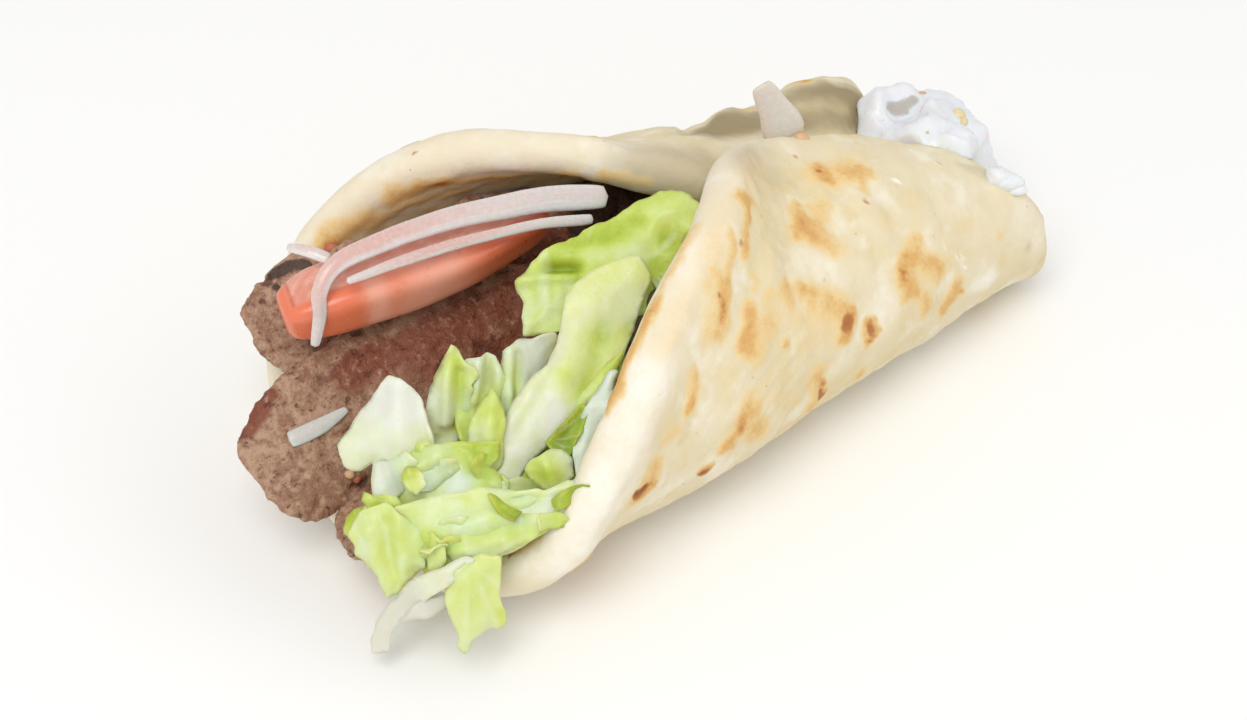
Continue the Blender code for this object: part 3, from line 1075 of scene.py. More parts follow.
@dataclass
class Pita:
    """The folded round of bread with its puffy rim, toasted spots and creases."""

    fold: Fold = Fold()
    reach_left: float = 83.0
    reach_right: float = 76.5
    rim_thickness: float = 8.6
    rim_band: float = 14.0
    unevenness: float = 0.9
    bump_width: float = 24.0
    flat_below: float = 0.35
    cells: int = 188
    rim_rows: int = 7
    finish: BreadFinish = BreadFinish()
    toast: Marks = traces((2.4, 0.6, 816, 173, 832, 176, 850, 171, 862, 172), (1.3, 1, 820, 170, 827, 181),
        (1.2, 0.85, 846, 173, 856, 168), (0.9, 0.6, 864, 176, 864, 190), (1.5, 0.9, 797, 211, 795, 232),
        (2.1, 0.9, 803, 222, 813, 236), (2.6, 0.6, 820, 212, 822, 234, 830, 248), (2.4, 0.35, 842, 250),
        (2, 0.8, 914, 243, 912, 256), (1.8, 0.95, 906, 262, 904, 278, 910, 287), (1, 1.25, 904, 275),
        (2.3, 0.9, 926, 262, 938, 269), (1.1, 0.75, 906, 301, 915, 295), (1.1, 0.85, 923, 298, 926, 311),
        (2.2, 0.42, 914, 284, 922, 297), (1.5, 0.95, 957, 285, 952, 297, 944, 309), (0.9, 1.1, 960, 292),
        (1.5, 0.95, 741, 197, 750, 203), (1, 0.95, 747, 206, 748, 226, 745, 246, 743, 255),
        (0.9, 0.6, 731, 234, 730, 255, 727, 278), (1.6, 0.85, 723, 284, 724, 300, 721, 320, 719, 334),
        (0.7, 1.15, 722, 298, 721, 318), (0.9, 0.55, 713, 273), (2, 0.42, 711, 290, 709, 320, 707, 338),
        (0.7, 0.6, 752, 276, 754, 290), (1.9, 1.05, 749, 314, 748, 330, 746, 346), (2.4, 0.5, 757, 350, 767, 330),
        (1.8, 0.66, 786, 288, 787, 302), (1.5, 0.85, 802, 290, 813, 292), (1.4, 0.7, 812, 306),
        (1.3, 0.45, 769, 296, 765, 322), (1.9, 0.7, 828, 300, 842, 312), (5.5, 0.34, 790, 308, 832, 322),
        (1.5, 1.2, 850, 314, 848, 323, 845, 335), (1.7, 0.8, 866, 330), (0.9, 1.3, 868, 321, 874, 330, 869, 341),
        (0.9, 0.9, 786, 344), (2.1, 0.72, 814, 378, 817, 392, 811, 406), (0.6, 1.3, 820, 380, 824, 392, 818, 408),
        (1.6, 0.75, 859, 375), (1.1, 0.66, 691, 372, 692, 392, 688, 410), (0.5, 0.95, 690, 400, 687, 411),
        (2.5, 0.75, 750, 406, 749, 422, 757, 430), (0.9, 1.1, 740, 418, 740, 428), (1.7, 1.1, 729, 445),
        (1, 0.8, 733, 436, 742, 424), (2.3, 0.8, 653, 468, 648, 482, 638, 495), (1, 1.1, 653, 481, 645, 491),
        (0.8, 1.3, 700, 472, 711, 466), (2, 0.3, 770, 401, 795, 404), (1.3, 0.4, 680, 430, 664, 440),
        (0.7, 0.4, 770, 372, 764, 386), (3, 0.24, 915, 200), (3.2, 0.22, 885, 222), (2, 0.2, 848, 206),
        (3.2, 0.28, 966, 224), (2.2, 0.26, 1003, 263), (3.2, 0.22, 720, 250, 716, 280),
        (3.6, 0.26, 757, 165, 735, 200, 712, 245, 692, 290, 668, 345), (3, 0.2, 725, 375, 728, 400),
        (1.2, 0.5, 1001, 236), (0.7, 0.55, 695, 228, 676, 262, 658, 298),
        (0.9, 1.1, 656, 300, 644, 328, 632, 354, 623, 374, 615, 394, 611, 406),
        (0.7, 1.2, 510, 553, 524, 546, 540, 534, 552, 520, 568, 502), (1.6, 0.95, 392, 197, 420, 187, 442, 182),
        (1.4, 0.8, 440, 183, 480, 178, 520, 175, 570, 174), (1.1, 0.6, 560, 175, 600, 175, 645, 181),
        (2.4, 0.8, 328, 241, 350, 228, 372, 219), (1, 1, 324, 250, 336, 243), (1, 1.2, 778, 90, 790, 86, 806, 84),
        (0.6, 0.8, 738, 109, 755, 106), (3, 0.42, 338, 254, 380, 232, 420, 216, 470, 204, 520, 198),
        (1.3, 0.6, 372, 222, 410, 204, 470, 190))
    scorched: Marks = traces((0.4, 0.7, 820, 171), (0.9, 0.85, 849, 318, 848, 326), (0.6, 0.7, 869, 323, 874, 331),
        (0.4, 0.6, 722, 298), (0.6, 1.2, 637, 496, 644, 488), (0.35, 0.8, 820, 388, 822, 396), (0.4, 0.5, 904, 275),
        (0.5, 1, 700, 472, 706, 470), (0.4, 0.6, 863, 198), (0.45, 0.5, 822, 277), (0.3, 0.5, 795, 157),
        (0.4, 0.45, 937, 162), (0.4, 0.5, 740, 242), (0.15, 0.6, 415, 152), (0.2, 0.7, 407, 165),
        (0.5, 0.5, 848, 126), (0.4, 0.8, 515, 551, 524, 546), (0.3, 0.5, 786, 344))
    # White dusting in creases and rumpled patches; the first mark and the long mark along the near flap's left rim
    # paint light.
    flour_and_light_spots: Marks = traces((3.2, 0.55, 362, 236, 400, 216, 450, 202, 520, 192, 580, 190),
        (0.25, 1.1, 884, 176, 898, 179), (0.25, 1.1, 944, 245, 954, 256, 966, 266), (5, 0.4, 1022, 226, 1040, 236),
        (6, 0.5, 560, 560, 600, 500, 626, 430, 652, 372), (3, 0.5, 700, 246, 690, 280),
        (2.6, 0.5, 975, 284, 992, 280), (6, 0.4, 885, 312), (4, 0.4, 842, 362), (3, 0.35, 745, 390, 706, 430),
        (4, 0.3, 800, 258, 840, 272))
    # Painted shade: the far flap's crest and right rim, the near flap's top rim and a few dimples.
    olive: Marks = traces((6.5, 0.95, 708, 124, 735, 113, 757, 107, 786, 95, 820, 90, 852, 92),
        (4, 0.8, 712, 130, 757, 124, 800, 122, 840, 120), (1.6, 0.9, 850, 88, 856, 104, 852, 122),
        (8, 0.5, 640, 160, 700, 158, 750, 160),
        (1.2, 0.42, 884, 134, 920, 144, 960, 164, 1000, 184, 1040, 214, 1053, 236),
        (10, 0.1, 930, 190, 990, 222, 1035, 250), (1.3, 0.4, 1027, 247), (1, 0.4, 1042, 259),
        (0.8, 0.3, 788, 184, 796, 188), (0.8, 0.3, 684, 440, 692, 404))
    lumps: Marks = traces((2, -0.9, 675, 127, 684, 124), (2, -1.8, 690, 123, 704, 120),
        (2.2, -0.8, 745, 108, 757, 106), (3, 0.4, 790, 92, 820, 92), (2.4, -1.3, 842, 78, 856, 82),
        (2, 0.9, 718, 120, 735, 113), (2.6, 2.3, 1006, 192, 1024, 208, 1040, 228))
    soft_border: float = 0.35
    hidden_spots: int = 46

    def layout(self) -> tuple[Array, Array]:
        """Spreads points evenly over a face of the flat bread.

        Returns:
            Part of the way to the rim and angle round the bread for each point.
        """
        line = np.linspace(-1.0, 1.0, self.cells + 1)
        a, b = [grid.ravel() for grid in np.meshgrid(line, line, indexing="ij")]
        radius = np.maximum(np.abs(a), np.abs(b))
        wide = np.abs(a) >= np.abs(b)
        safe_a, safe_b = np.where(a == 0, 1e-9, a), np.where(b == 0, 1e-9, b)
        angle = np.where(wide, np.pi / 4 * b / safe_a + np.where(a < 0, np.pi, 0.0),
                         np.pi / 2 - np.pi / 4 * a / safe_b + np.where(b < 0, np.pi, 0.0))
        return radius, angle

    def faces(self) -> tuple[Faces, Array]:
        """Joins two square grids and the rings of the rim between them.

        Returns:
            The faces and the numbers of a grid's border points, in order round it.
        """
        n = self.cells + 1
        grid = sheet_faces(n, n)
        border = np.array([i * n for i in range(n)] + [(n - 1) * n + j for j in range(1, n)]
                          + [i * n + n - 1 for i in range(n - 2, -1, -1)] + list(range(n - 2, 0, -1)))
        rings = np.arange(2 * self.rim_rows - 1)[:, None] * len(border) + np.arange(len(border))
        loops = [border, *(2 * n * n + rings), border + n * n]
        faces: Faces = grid.tolist() + (grid[:, ::-1] + n * n).tolist()
        for low, high in zip(loops[:-1], loops[1:]):
            faces += np.stack([low, high, np.roll(high, -1), np.roll(low, -1)], 1).tolist()
        return faces, border

    def spread(self) -> tuple[Array, Array, Array, Faces]:
        """Places of all points on the flat bread.

        Returns:
            u, v, the height within the thickness and the faces.
        """
        faces, border = self.faces()
        radius, angle = self.layout()
        edge = self.rim_thickness / 2
        turns = np.arange(1, 2 * self.rim_rows) / (2 * self.rim_rows) * np.pi
        ring_angle = np.tile(angle[border], len(turns))
        bend = np.repeat(turns, len(border))
        angles = np.concatenate([angle, angle, ring_angle])
        reach_v = np.where(np.sin(angles) > 0, FAR_FLAP.reach, NEAR_FLAP.reach)
        reach_u = np.where(np.cos(angles) > 0, self.reach_right, self.reach_left)
        rim = edge / reach_v
        flat_part = np.concatenate([radius, radius, np.ones(len(ring_angle))])
        round_part = np.concatenate([np.zeros(2 * len(radius)), np.sin(bend)])
        part = (1.0 - rim) * flat_part + rim * round_part
        height = np.concatenate([np.ones(len(radius)), -np.ones(len(radius)), np.cos(bend)])
        return part * reach_u * np.cos(angles), part * reach_v * np.sin(angles), height, faces

    def inside(self, u: Array, v: Array) -> Array:
        """Distance in mm from the rim at u and v on the bread."""
        reach_v = np.where(v > 0, FAR_FLAP.reach, NEAR_FLAP.reach)
        reach_u = np.where(u > 0, self.reach_right, self.reach_left)
        return np.maximum(1.0 - np.hypot(u / reach_u, v / reach_v), 0.0) * reach_v

    def relief(self, u: Array, v: Array, outer: Array) -> Array:
        """Dimples, blisters, fine wrinkles and pores.

        Args:
            u, v: places on the bread.
            outer: 1 on the outer face and -1 on the inner one.

        Returns:
            Height in mm.
        """
        place = np.stack([u, v, outer * 30.0], 1)
        soft = 0.4 * soft_grain(place, 9.0, 3) + 0.26 * soft_grain(place, 4.2, 4)
        pores = 0.1 * soft_grain(place, 1.9, 5)
        cell, label = pebbles(place, 15.0, 9)
        blister = np.where(label > 0.62, 0.55 * ease(0.42, 0.1, cell), 0.0)
        inside = self.inside(u, v)
        wander = 2.4 * soft_grain(place, 14.0, 6)
        stretch = ease(10.0, 18.0, inside) * ease(60.0, 34.0, inside) * (v < -20) * (outer > 0) * (u < 20)
        wrinkles = 0.16 * np.sin((inside + wander) * 2 * np.pi / 3.6) * stretch
        wrinkles *= ease(-0.4, 0.5, soft_grain(place, 11.0, 8))
        return soft + pores + blister + wrinkles

    def shape(self) -> tuple[Array, Array, Array, Faces]:
        """The folded bread.

        Returns:
            Its points, 1 or -1 for the outer or inner face, how pale the rim is, as dusting and painted light, and
            its faces.
        """
        u, v, height, faces = self.spread()
        inside = self.inside(u, v)
        nearness = np.clip(1.0 - np.abs(inside - self.rim_band / 2) / self.rim_band, 0.0, 1.0)
        puff = 0.5 - 0.5 * np.cos(np.pi * nearness)
        half = (self.fold.thickness + (self.rim_thickness - self.fold.thickness) * puff) / 2
        outer = np.where(height >= 0, 1.0, -1.0)
        bump = self.unevenness * ripple(np.stack([u, v, outer * self.fold.thickness], 1), self.bump_width, 1)
        flatness = np.abs(height) ** 0.5
        points = self.fold.point(u, v)
        normals = self.fold.normal(u, v)
        points = points + normals * (height * half + bump + outer * flatness * self.relief(u, v, outer))[:, None]
        points[:, 2] = np.where(points[:, 2] < self.flat_below, 0.0, points[:, 2])
        # The third value is the pale rim at the left end: dusting and painted light.
        return points, outer, ease(17.0, 3.0, inside) * ease(34.0, -16.0, u) * 0.42, faces

    def field(self, points: Array, marks: Sequence[Mark], target: Target, seed: int) -> Array:
        """How strongly points lie in marks that add up, with ragged borders.

        Args:
            points: the bread's points.
            marks: where, how wide and how strong.
            target: the bread.
            seed: picks the borders.

        Returns:
            One number a point.
        """
        strength = np.zeros(len(points))
        drift = [0.9 * soft_grain(points, 3.6, seed + k) + 0.55 * soft_grain(points, 1.6, seed + 5 + k)
                 for k in range(3)]
        moved = points + np.stack(drift, 1)
        for mark in marks:
            reach = distance_to_path(moved, target.path(mark.pixels)) / (mark.radius + self.soft_border)
            strength = np.hypot(strength, mark.strength * ease(1.8, 0.1, reach))
        return strength

    def unseen_toast(self, points: Array, normals: Array, outer: Array) -> Array:
        """Toasted spots where the photograph doesn't look, spread at random.

        Args:
            points, normals: the bread's points and the directions out of it.
            outer: 1 on the outer face and -1 on the inner one.

        Returns:
            The strength of toasting for each point.
        """
        rng = np.random.default_rng(11)
        away = np.where((normals @ BACK < 0.05) & (outer > 0))[0]
        strength = np.zeros(len(points))
        rough = soft_grain(points, 3.0, 41) + 0.7 * soft_grain(points, 1.3, 42)
        for spot in points[rng.choice(away, self.hidden_spots)]:
            drift = unit(rng.normal(size=(1, 3)))[0] * rng.uniform(2.0, 11.0)
            radius = rng.uniform(1.6, 5.2)
            reach = distance_to_path(points, np.stack([spot, spot + drift])) / radius + 0.3 * rough
            strength = np.maximum(strength, rng.uniform(0.55, 1.2) * ease(1.5, 0.4, reach))
        return strength * (normals @ BACK < 0.15)

    def build(self) -> None:
        """Makes and dresses the bread."""
        points, outer, rim, faces = self.shape()
        piece = make_piece("pita_bread", points, faces)
        target, normals = Target(piece), normals_of(piece)
        seen = ease(-0.3, 0.1, normals @ BACK)
        # Painted shade fades on faces turned away from the camera or towards +Y.
        shaded = ease(-0.8, 0.4, normals @ BACK) * ease(1.0, 0.0, normals[:, 1])
        toast = self.field(points, self.toast, target, 21) * seen
        toast = np.maximum(toast, self.unseen_toast(points, normals, outer))
        char = self.field(points, self.scorched, target, 23) * seen
        marks = {"rim": rim, "toast": toast, "char": char,
                 "flour": self.field(points, self.flour_and_light_spots, target, 25) * seen,
                 "olive": self.field(points, self.olive, target, 27) * shaded}
        puffed = points + normals * (0.3 * ease(0.2, 0.8, toast) - 0.25 * ease(0.4, 1.0, char))[:, None]
        puffed += target.pull(points, self.lumps, 0.12)[:, None] * UP
        puffed[:, 2] = np.where(points[:, 2] < self.flat_below, points[:, 2], puffed[:, 2])
        reshape(piece, puffed, marks)
        dress(piece, self.finish.material(), "pita_bread", "pita")


# ---- swept forms
@dataclass(frozen=True)
class Sweep:
    """A closed form laid along a line, as the solids of the fillings are."""

    line: tuple[Point, ...]
    widths: Numbers
    heights: Numbers
    face: Point
    blunt: float = 4.0
    square: float = 3.0
    ragged: float = 0.0
    ragged_scale: float = 12.0
    seed: int = 0
    crowding: float = 0.75

    def frame_on(self, t: Array) -> tuple[Array, Array, Array]:
        """Sections of the form.

        Args:
            t: places along the line, from 0 to 1.

        Returns:
            Centre points, directions across and directions out.
        """
        centre = through(self.line, t)
        ahead, behind = np.minimum(t + 0.01, 1.0), np.maximum(t - 0.01, 0.0)
        along = unit(through(self.line, ahead) - through(self.line, behind))
        across = unit(np.cross(along, np.array(self.face)))
        return centre, across, np.cross(across, along)

    def shape(self, rings: int, segments: int) -> tuple[Array, Faces, dict[str, Array]]:
        """The form's points.

        Args:
            rings: sections along the line.
            segments: points round each section.

        Returns:
            Points in mm, faces, and marks: along (0 to 1), side (-1 to 1) and top (-1 to 1).
        """
        polar = np.repeat((np.arange(rings) + 0.5) / rings * np.pi, segments)
        angle = np.tile(np.arange(segments) / segments * 2 * np.pi, rings)
        polar = np.concatenate([polar, [0.0, np.pi]])
        angle = np.concatenate([angle, [0.0, 0.0]])
        t = self.crowding * (0.5 - 0.5 * np.cos(polar)) + (1 - self.crowding) * polar / np.pi
        fill = superellipse(2 * t - 1, self.blunt)
        centre, across, out = self.frame_on(t)
        c, s = np.cos(angle), np.sin(angle)
        side = np.sign(c) * np.abs(c) ** (2 / self.square)
        top = np.sign(s) * np.abs(s) ** (2 / self.square)
        wide = (side * through(self.widths, t) / 2 * fill)[:, None] * across
        high = (top * through(self.heights, t) / 2 * fill)[:, None] * out
        points = centre + wide + high
        if self.ragged:
            wave = ripple(points, self.ragged_scale, self.seed) * self.ragged
            points = points + unit(wide + high * 0.5) * wave[:, None]
        faces: Faces = sheet_faces(rings, segments, around=True).tolist()
        first, last = rings * segments, rings * segments + 1
        base = (rings - 1) * segments
        faces += [(first, (j + 1) % segments, j) for j in range(segments)]
        faces += [(last, base + j, base + (j + 1) % segments) for j in range(segments)]
        return points, faces, {"along": t, "side": side, "top": top}


# ---- meat
@dataclass(frozen=True)
class MeatFinish:
    """Roasted ground meat: brown, granular, with pale fat, dark pits, a burnt edge and painted shadow in the gap
    under the far flap's rim.
    """

    light: Colour = paint(184, 150, 124)
    brown: Colour = paint(148, 106, 82)
    red: Colour = paint(128, 66, 44)
    dark: Colour = paint(96, 58, 42)
    char: Colour = paint(46, 32, 26)
    fat: Colour = paint(208, 182, 152)

    def material(self) -> Material:
        """Builds the finish.

        Returns:
            The material.
        """
        p = Paint("gyro_meat")
        broad, mid = p.cloud(16.0, 3.0, 0.6, seed=1), p.cloud(3.0, 4.0, 0.65, seed=2)
        fine, crumbly = p.cloud(0.8, 3.0, 0.6, seed=3), p.cloud(1.5, 3.0, 0.7, seed=4)
        juicy = p.mark("juicy") * 0.9 + broad.sway(0.7) + mid.sway(0.7)
        holes = (p.cloud(1.7, 3.0, 0.6, seed=8, stretch=(0.6, 1.0, 1.0)) + fine.sway(0.16)).between(0.37, 0.26)
        pit = p.mark("pit") + fine.sway(0.8) + crumbly.sway(0.6)
        # Char colour for burnt edges and for painted shadow in the gap under the far flap's rim.
        char = p.mark("char") + fine.sway(0.8) + crumbly.sway(0.4)
        base = p.coats(
            self.brown,
            (self.light, (mid * 0.7 + broad * 0.6 + crumbly.sway(0.5)).between(0.48, 0.84)),
            (self.red, juicy.between(0.15, 0.75) * 0.92),
            (self.light, (crumbly * 0.7 + mid * 0.5).between(0.62, 0.84) * 0.5),
            (self.fat, (crumbly * 0.6 + fine * 0.5).between(0.64, 0.8) * 0.5),
            (self.dark, (crumbly * 0.7 + fine * 0.4).between(0.5, 0.36) * 0.75),
            (self.char, holes * 0.62),
            (self.dark, pit.between(0.25, 1.0) * 0.85),
            (self.char, char.between(0.3, 0.9) * 0.85))
        height = crumbly * 0.9 + fine * 0.5 + mid * 0.4 - holes * 0.5
        rough = 0.54 + fine.sway(0.4) + crumbly.sway(0.3)
        return p.lay(base, rough, p.bump(height, 0.5, 1.0), Subsurface_Weight=0.05,
                     Subsurface_Scale=0.002, Specular_IOR_Level=0.42)


@dataclass(frozen=True)
class MeatSlice:
    """One shaved slice of meat over its solid."""

    node: str
    seed: int
    juicy: Marks = ()
    # Burnt edges, and painted shadow in the gap under the far flap's rim.
    char_and_shadow: Marks = ()
    cracks: Marks = ()
    lumps: Marks = ()
    face_size: float = 0.62

    def relief(self, points: Array) -> tuple[Array, Array]:
        """Grains, pits and a ragged border.

        Args:
            points: the slice's points.

        Returns:
            Height in mm and how deep in a pit each point lies.
        """
        warped = points + 0.8 * np.stack([soft_grain(points, 2.2, self.seed + k) for k in (13, 14, 15)], 1)
        grain, tone = pebbles(warped, 2.6, self.seed)
        sunk = ease(0.46, 0.8, soft_grain(warped * (0.8, 1.0, 1.0), 1.8, self.seed + 5))
        sunk *= ease(-0.2, 0.2, soft_grain(points, 7.0, self.seed + 6))
        height = 0.42 * (0.45 - grain) + 0.35 * (tone - 0.5) - 0.9 * sunk
        height += 0.3 * soft_grain(warped, 1.4, self.seed + 3)
        height += 0.6 * soft_grain(points, 6.5, self.seed + 8) + 0.36 * soft_grain(points, 3.1, self.seed + 9)
        return height, sunk

    def build(self, material: Material) -> None:
        """Makes and dresses the slice.

        Args:
            material: the meat's finish.
        """
        piece = even_copy(self.node, self.node + "_roast", self.face_size, 6)
        points, normals = points_of(piece), normals_of(piece)
        target = Target(piece)
        height, pit = self.relief(points)
        rough = 0.3 * soft_grain(points, 2.4, self.seed + 12)
        juicy, char, crack = [target.spots(points, marks, 0.4, 1.5, rough)
                              for marks in (self.juicy, self.char_and_shadow, self.cracks)]
        height = height - 0.9 * crack + 0.2 * char
        moved = points + normals * height[:, None] + target.pull(points, self.lumps)[:, None] * UP
        reshape(piece, moved, {"pit": np.maximum(pit, crack), "juicy": juicy, "char": char})
        dress(piece, material, "gyro_meat", self.node)


@dataclass
class Meat:
    """The three slices of roasted meat."""

    finish: MeatFinish = MeatFinish()
    slices: tuple[MeatSlice, ...] = (
        MeatSlice("meat_slice_upper", 31,
                  juicy=traces((5, 1.1, 270, 366, 340, 356, 400, 330, 470, 292, 540, 255),
                               (4, 1, 560, 230, 610, 215)),
                  # The first mark paints the gap under the far flap's rim dark as shadow; the others are burnt
                  # edges.
                  char_and_shadow=traces((5, 1.3, 590, 222, 620, 204, 660, 194), (1.4, 1, 272, 276, 290, 268, 307, 264),
                                 (1.2, 1.1, 276, 288), (0.9, 0.5, 250, 300, 248, 335)),
                  lumps=traces((3.8, -5.4, 338, 246, 367, 228, 400, 213, 430, 203, 474, 190, 505, 186))),
        MeatSlice("meat_slice_front", 47,
                  juicy=traces((2.2, 1, 266, 398, 246, 428, 236, 452, 234, 470), (7, 0.8, 420, 352, 510, 300),
                               (4, 1, 350, 372, 430, 336, 530, 280), (4, 0.8, 480, 370, 520, 330)),
                  # The second mark paints the gap under the far flap's rim dark as shadow.
                  char_and_shadow=traces((1, 0.5, 300, 452), (5, 1.3, 590, 222, 620, 204, 660, 194)),
                  cracks=traces((0.8, 0.8, 478, 345, 500, 352, 512, 362), (0.7, 0.5, 440, 365, 448, 385))),
        MeatSlice("meat_slice_lower", 59),
    )

    def build(self) -> None:
        """Makes all slices with one finish."""
        material = self.finish.material()
        for meat_slice in self.slices:
            meat_slice.build(material)


# ---- tomato
@dataclass(frozen=True)
class TomatoFinish:
    """Ripe tomato: glossy orange-red skin with a painted highlight, paler wet flesh with fine veins."""

    skin: Colour = paint(230, 124, 88)
    # Colour of the painted highlight on the skin.
    skin_highlight: Colour = paint(246, 182, 160)
    skin_dark: Colour = paint(206, 82, 46)
    flesh: Colour = paint(222, 146, 124)
    flesh_pale: Colour = paint(232, 176, 158)
    seam: Colour = paint(172, 58, 36)

    def material(self) -> Material:
        """Builds the finish.

        Returns:
            The material.
        """
        p = Paint("tomato")
        broad, mid, fine = p.cloud(12.0, 2.0, seed=1), p.cloud(3.0, 3.0, 0.6, seed=2), p.cloud(0.8, 2.0, seed=3)
        fibre = p.cloud(1.1, 3.0, 0.6, seed=4, stretch=(0.25, 1.0, 1.0))
        # Painted highlight on the skin, with soft mottling.
        glow = (broad * 0.5 + mid * 0.2 + p.mark("glow")).between(0.3, 1.1) * 0.9
        skin = p.coats(self.skin, (self.skin_highlight, glow), (self.skin_dark, p.mark("deep")))
        base = p.coats(self.flesh,
                       (self.flesh_pale, (fibre * 0.6 + mid * 0.5).between(0.42, 0.72)),
                       (self.seam, (fine * 0.5 + mid * 0.6).between(0.62, 0.8) * 0.4),
                       (skin, p.mark("skin")),
                       (self.seam, p.mark("seam") * 0.5))
        rough = 0.3 + mid.sway(0.2) + (1.0 - p.mark("skin")) * 0.12
        normal = p.bump((fibre * 0.6 + fine * 0.5) * (1.0 - p.mark("skin") * 0.9), 0.16, 0.7)
        return p.lay(base, rough, normal, Subsurface_Weight=0.2, Subsurface_Scale=0.004, Coat_Weight=0.2,
                     Coat_Roughness=0.15)


@dataclass
class TomatoWedge:
    """The thick wedge of tomato, with its skin towards the open side and its cut face up."""

    form: Sweep = Sweep(((-75, 29.0, 40.3), (-62, 24.7, 42), (-42, 21.4, 41.8), (-20, 20.6, 40.6)),
                        (11, 13.3, 14.4, 11.2), (10, 11.2, 10, 6.4), (0, -0.15, 1.0), blunt=5.0, square=3.9,
                        ragged=0.3, seed=5)
    finish: TomatoFinish = TomatoFinish()
    shrink: float = 0.15
    rings: int = 170
    segments: int = 72

    def build(self) -> None:
        """Makes and dresses the wedge."""
        points, faces, place = self.form.shape(self.rings, self.segments)
        piece = make_piece("tomato_wedge_cut", points, faces)
        normals = normals_of(piece)
        wander = 0.1 * soft_grain(points, 9.0, 6)
        along = place["along"]
        skin = np.maximum(ease(0.34, 0.5, place["side"] + wander), ease(0.09, 0.03, along + 0.2 * wander))
        seam = ease(0.35, 0.0, np.abs(skin - 0.5)) * 0.8 * (place["top"] > 0.0)
        cut = 1.0 - skin
        wet = 0.22 * soft_grain(points, 3.4, 3) + 0.1 * soft_grain(points, 1.4, 4)
        height = cut * wet + (1.0 - cut) * 0.12 * soft_grain(points, 9.0, 5) - 0.25 * seam - self.shrink
        marks = {"skin": skin, "seam": seam + ease(-0.75, -0.95, place["top"]) * 0.5,
                 "deep": ease(0.62, 1.0, along) * 0.7,
                 # Painted highlight: a narrow band and a wide one across the skin.
                 "glow": (ease(0.07, 0.0, np.abs(along - 0.38)) + ease(0.3, 0.0, np.abs(along - 0.55))) * 0.45}
        reshape(piece, points + normals * height[:, None], marks)
        dress(piece, self.finish.material(), "tomato_flesh", "tomato_wedge")


# ---- onion
@dataclass(frozen=True)
class OnionFinish:
    """Raw red onion's pale flesh: wet, faintly pink, with fibres along the strip; greyed as painted shade where its
    blush is below 0.
    """

    pale: Colour = paint(216, 206, 203)
    pink: Colour = paint(214, 182, 174)
    milky: Colour = paint(230, 227, 227)
    shade: Colour = paint(198, 182, 182)
    # Painted shade: a greyish tone for strips with a blush below 0.
    dull: Colour = paint(204, 203, 193)

    def material(self) -> Material:
        """Builds the finish from the place along and across the strip.

        Returns:
            The material.
        """
        p = Paint("onion")
        along, across = p.mark("along"), p.mark("across")
        mid, fine = p.cloud(4.0, 2.0, seed=1), p.cloud(1.0, 2.0, seed=2)
        lines = (across * 17.0 + mid * 7.0).call("SINE") * 0.5 + 0.5
        pinker = 1.0 - abs(along - 0.4) * 2.4 + mid.sway(0.6)
        milkier = abs(across + 0.25) * 0.8 + mid.sway(0.5) + along * 0.25
        base = p.coats(self.pale,
                       (self.pink, pinker.between(0.1, 0.9) * p.mark("blush")),
                       (self.milky, milkier.between(0.45, 1.05)),
                       # Painted shade on strips with a blush below 0.
                       (self.dull, p.mark("dull") * (mid + fine).between(0.1, 0.8)),
                       (self.shade, (lines * 0.3 + mid * 0.8).between(0.55, 0.95) * 0.3))
        normal = p.bump(lines * 0.12 + fine * 0.3 + mid * 0.3, 0.06, 0.5)
        rough = 0.27 + fine.sway(0.14)
        return p.lay(base, rough, normal, Subsurface_Weight=0.5, Subsurface_Scale=0.006,
                     Specular_IOR_Level=0.5, Coat_Weight=0.1, Coat_Roughness=0.15)


class OnionCutter(Recipe):
    """Geometry Nodes tree that sweeps an onion's cross-section along a line of points."""

    def __init__(self) -> None:
        """Builds the tree: its points carry radius, sideways and along."""
        super().__init__("onion_cutter")
        profile = self.input("Profile points", "Int", 22)
        flatness = self.input("Flatness", "Float", 0.5)
        waviness = self.input("Waviness", "Float", 0.0002)
        wave_size = self.input("Wave size", "Float", 90.0)
        material = self.input("Finish", "Material")
        curve = self.add("GeometryNodeMeshToCurve", None, {0: self.geometry})[0]
        sideways = self.named("sideways", "FLOAT_VECTOR")
        curve = self.add("GeometryNodeSetCurveNormal", {"mode": "FREE"}, {"Curve": curve, "Normal": sideways})[0]
        ring = self.add("GeometryNodeCurvePrimitiveCircle", {"mode": "RADIUS"},
                        {"Resolution": profile, "Radius": 1.0})[0]
        place = self.add("GeometryNodeInputPosition")[0]
        x, y, _ = self.split(place)
        squared = x * ((abs(x) ** 2.0) * 0.12 + 0.88)
        ring = self.add("GeometryNodeStoreNamedAttribute", {"data_type": "FLOAT", "domain": "POINT"},
                        {"Geometry": ring, "Name": "across", "Value": x})[0]
        ring = self.add("GeometryNodeSetPosition", None,
                        {"Geometry": ring, "Position": self.join(squared, y * flatness, 0.0)})[0]
        body = self.add("GeometryNodeCurveToMesh", None,
                        {"Curve": curve, "Profile Curve": ring, "Scale": self.named("radius"),
                         "Fill Caps": True})[0]
        cloud = self.add("ShaderNodeTexNoise", None, {"Vector": place, "Scale": wave_size, "Detail": 2.0})["Color"]
        shift = self.vector("MULTIPLY", self.vector("SUBTRACT", cloud, (0.5, 0.5, 0.5)), waviness * 2.0)
        body = self.add("GeometryNodeSetPosition", None, {"Geometry": body, "Offset": shift})[0]
        self.end(body, material)


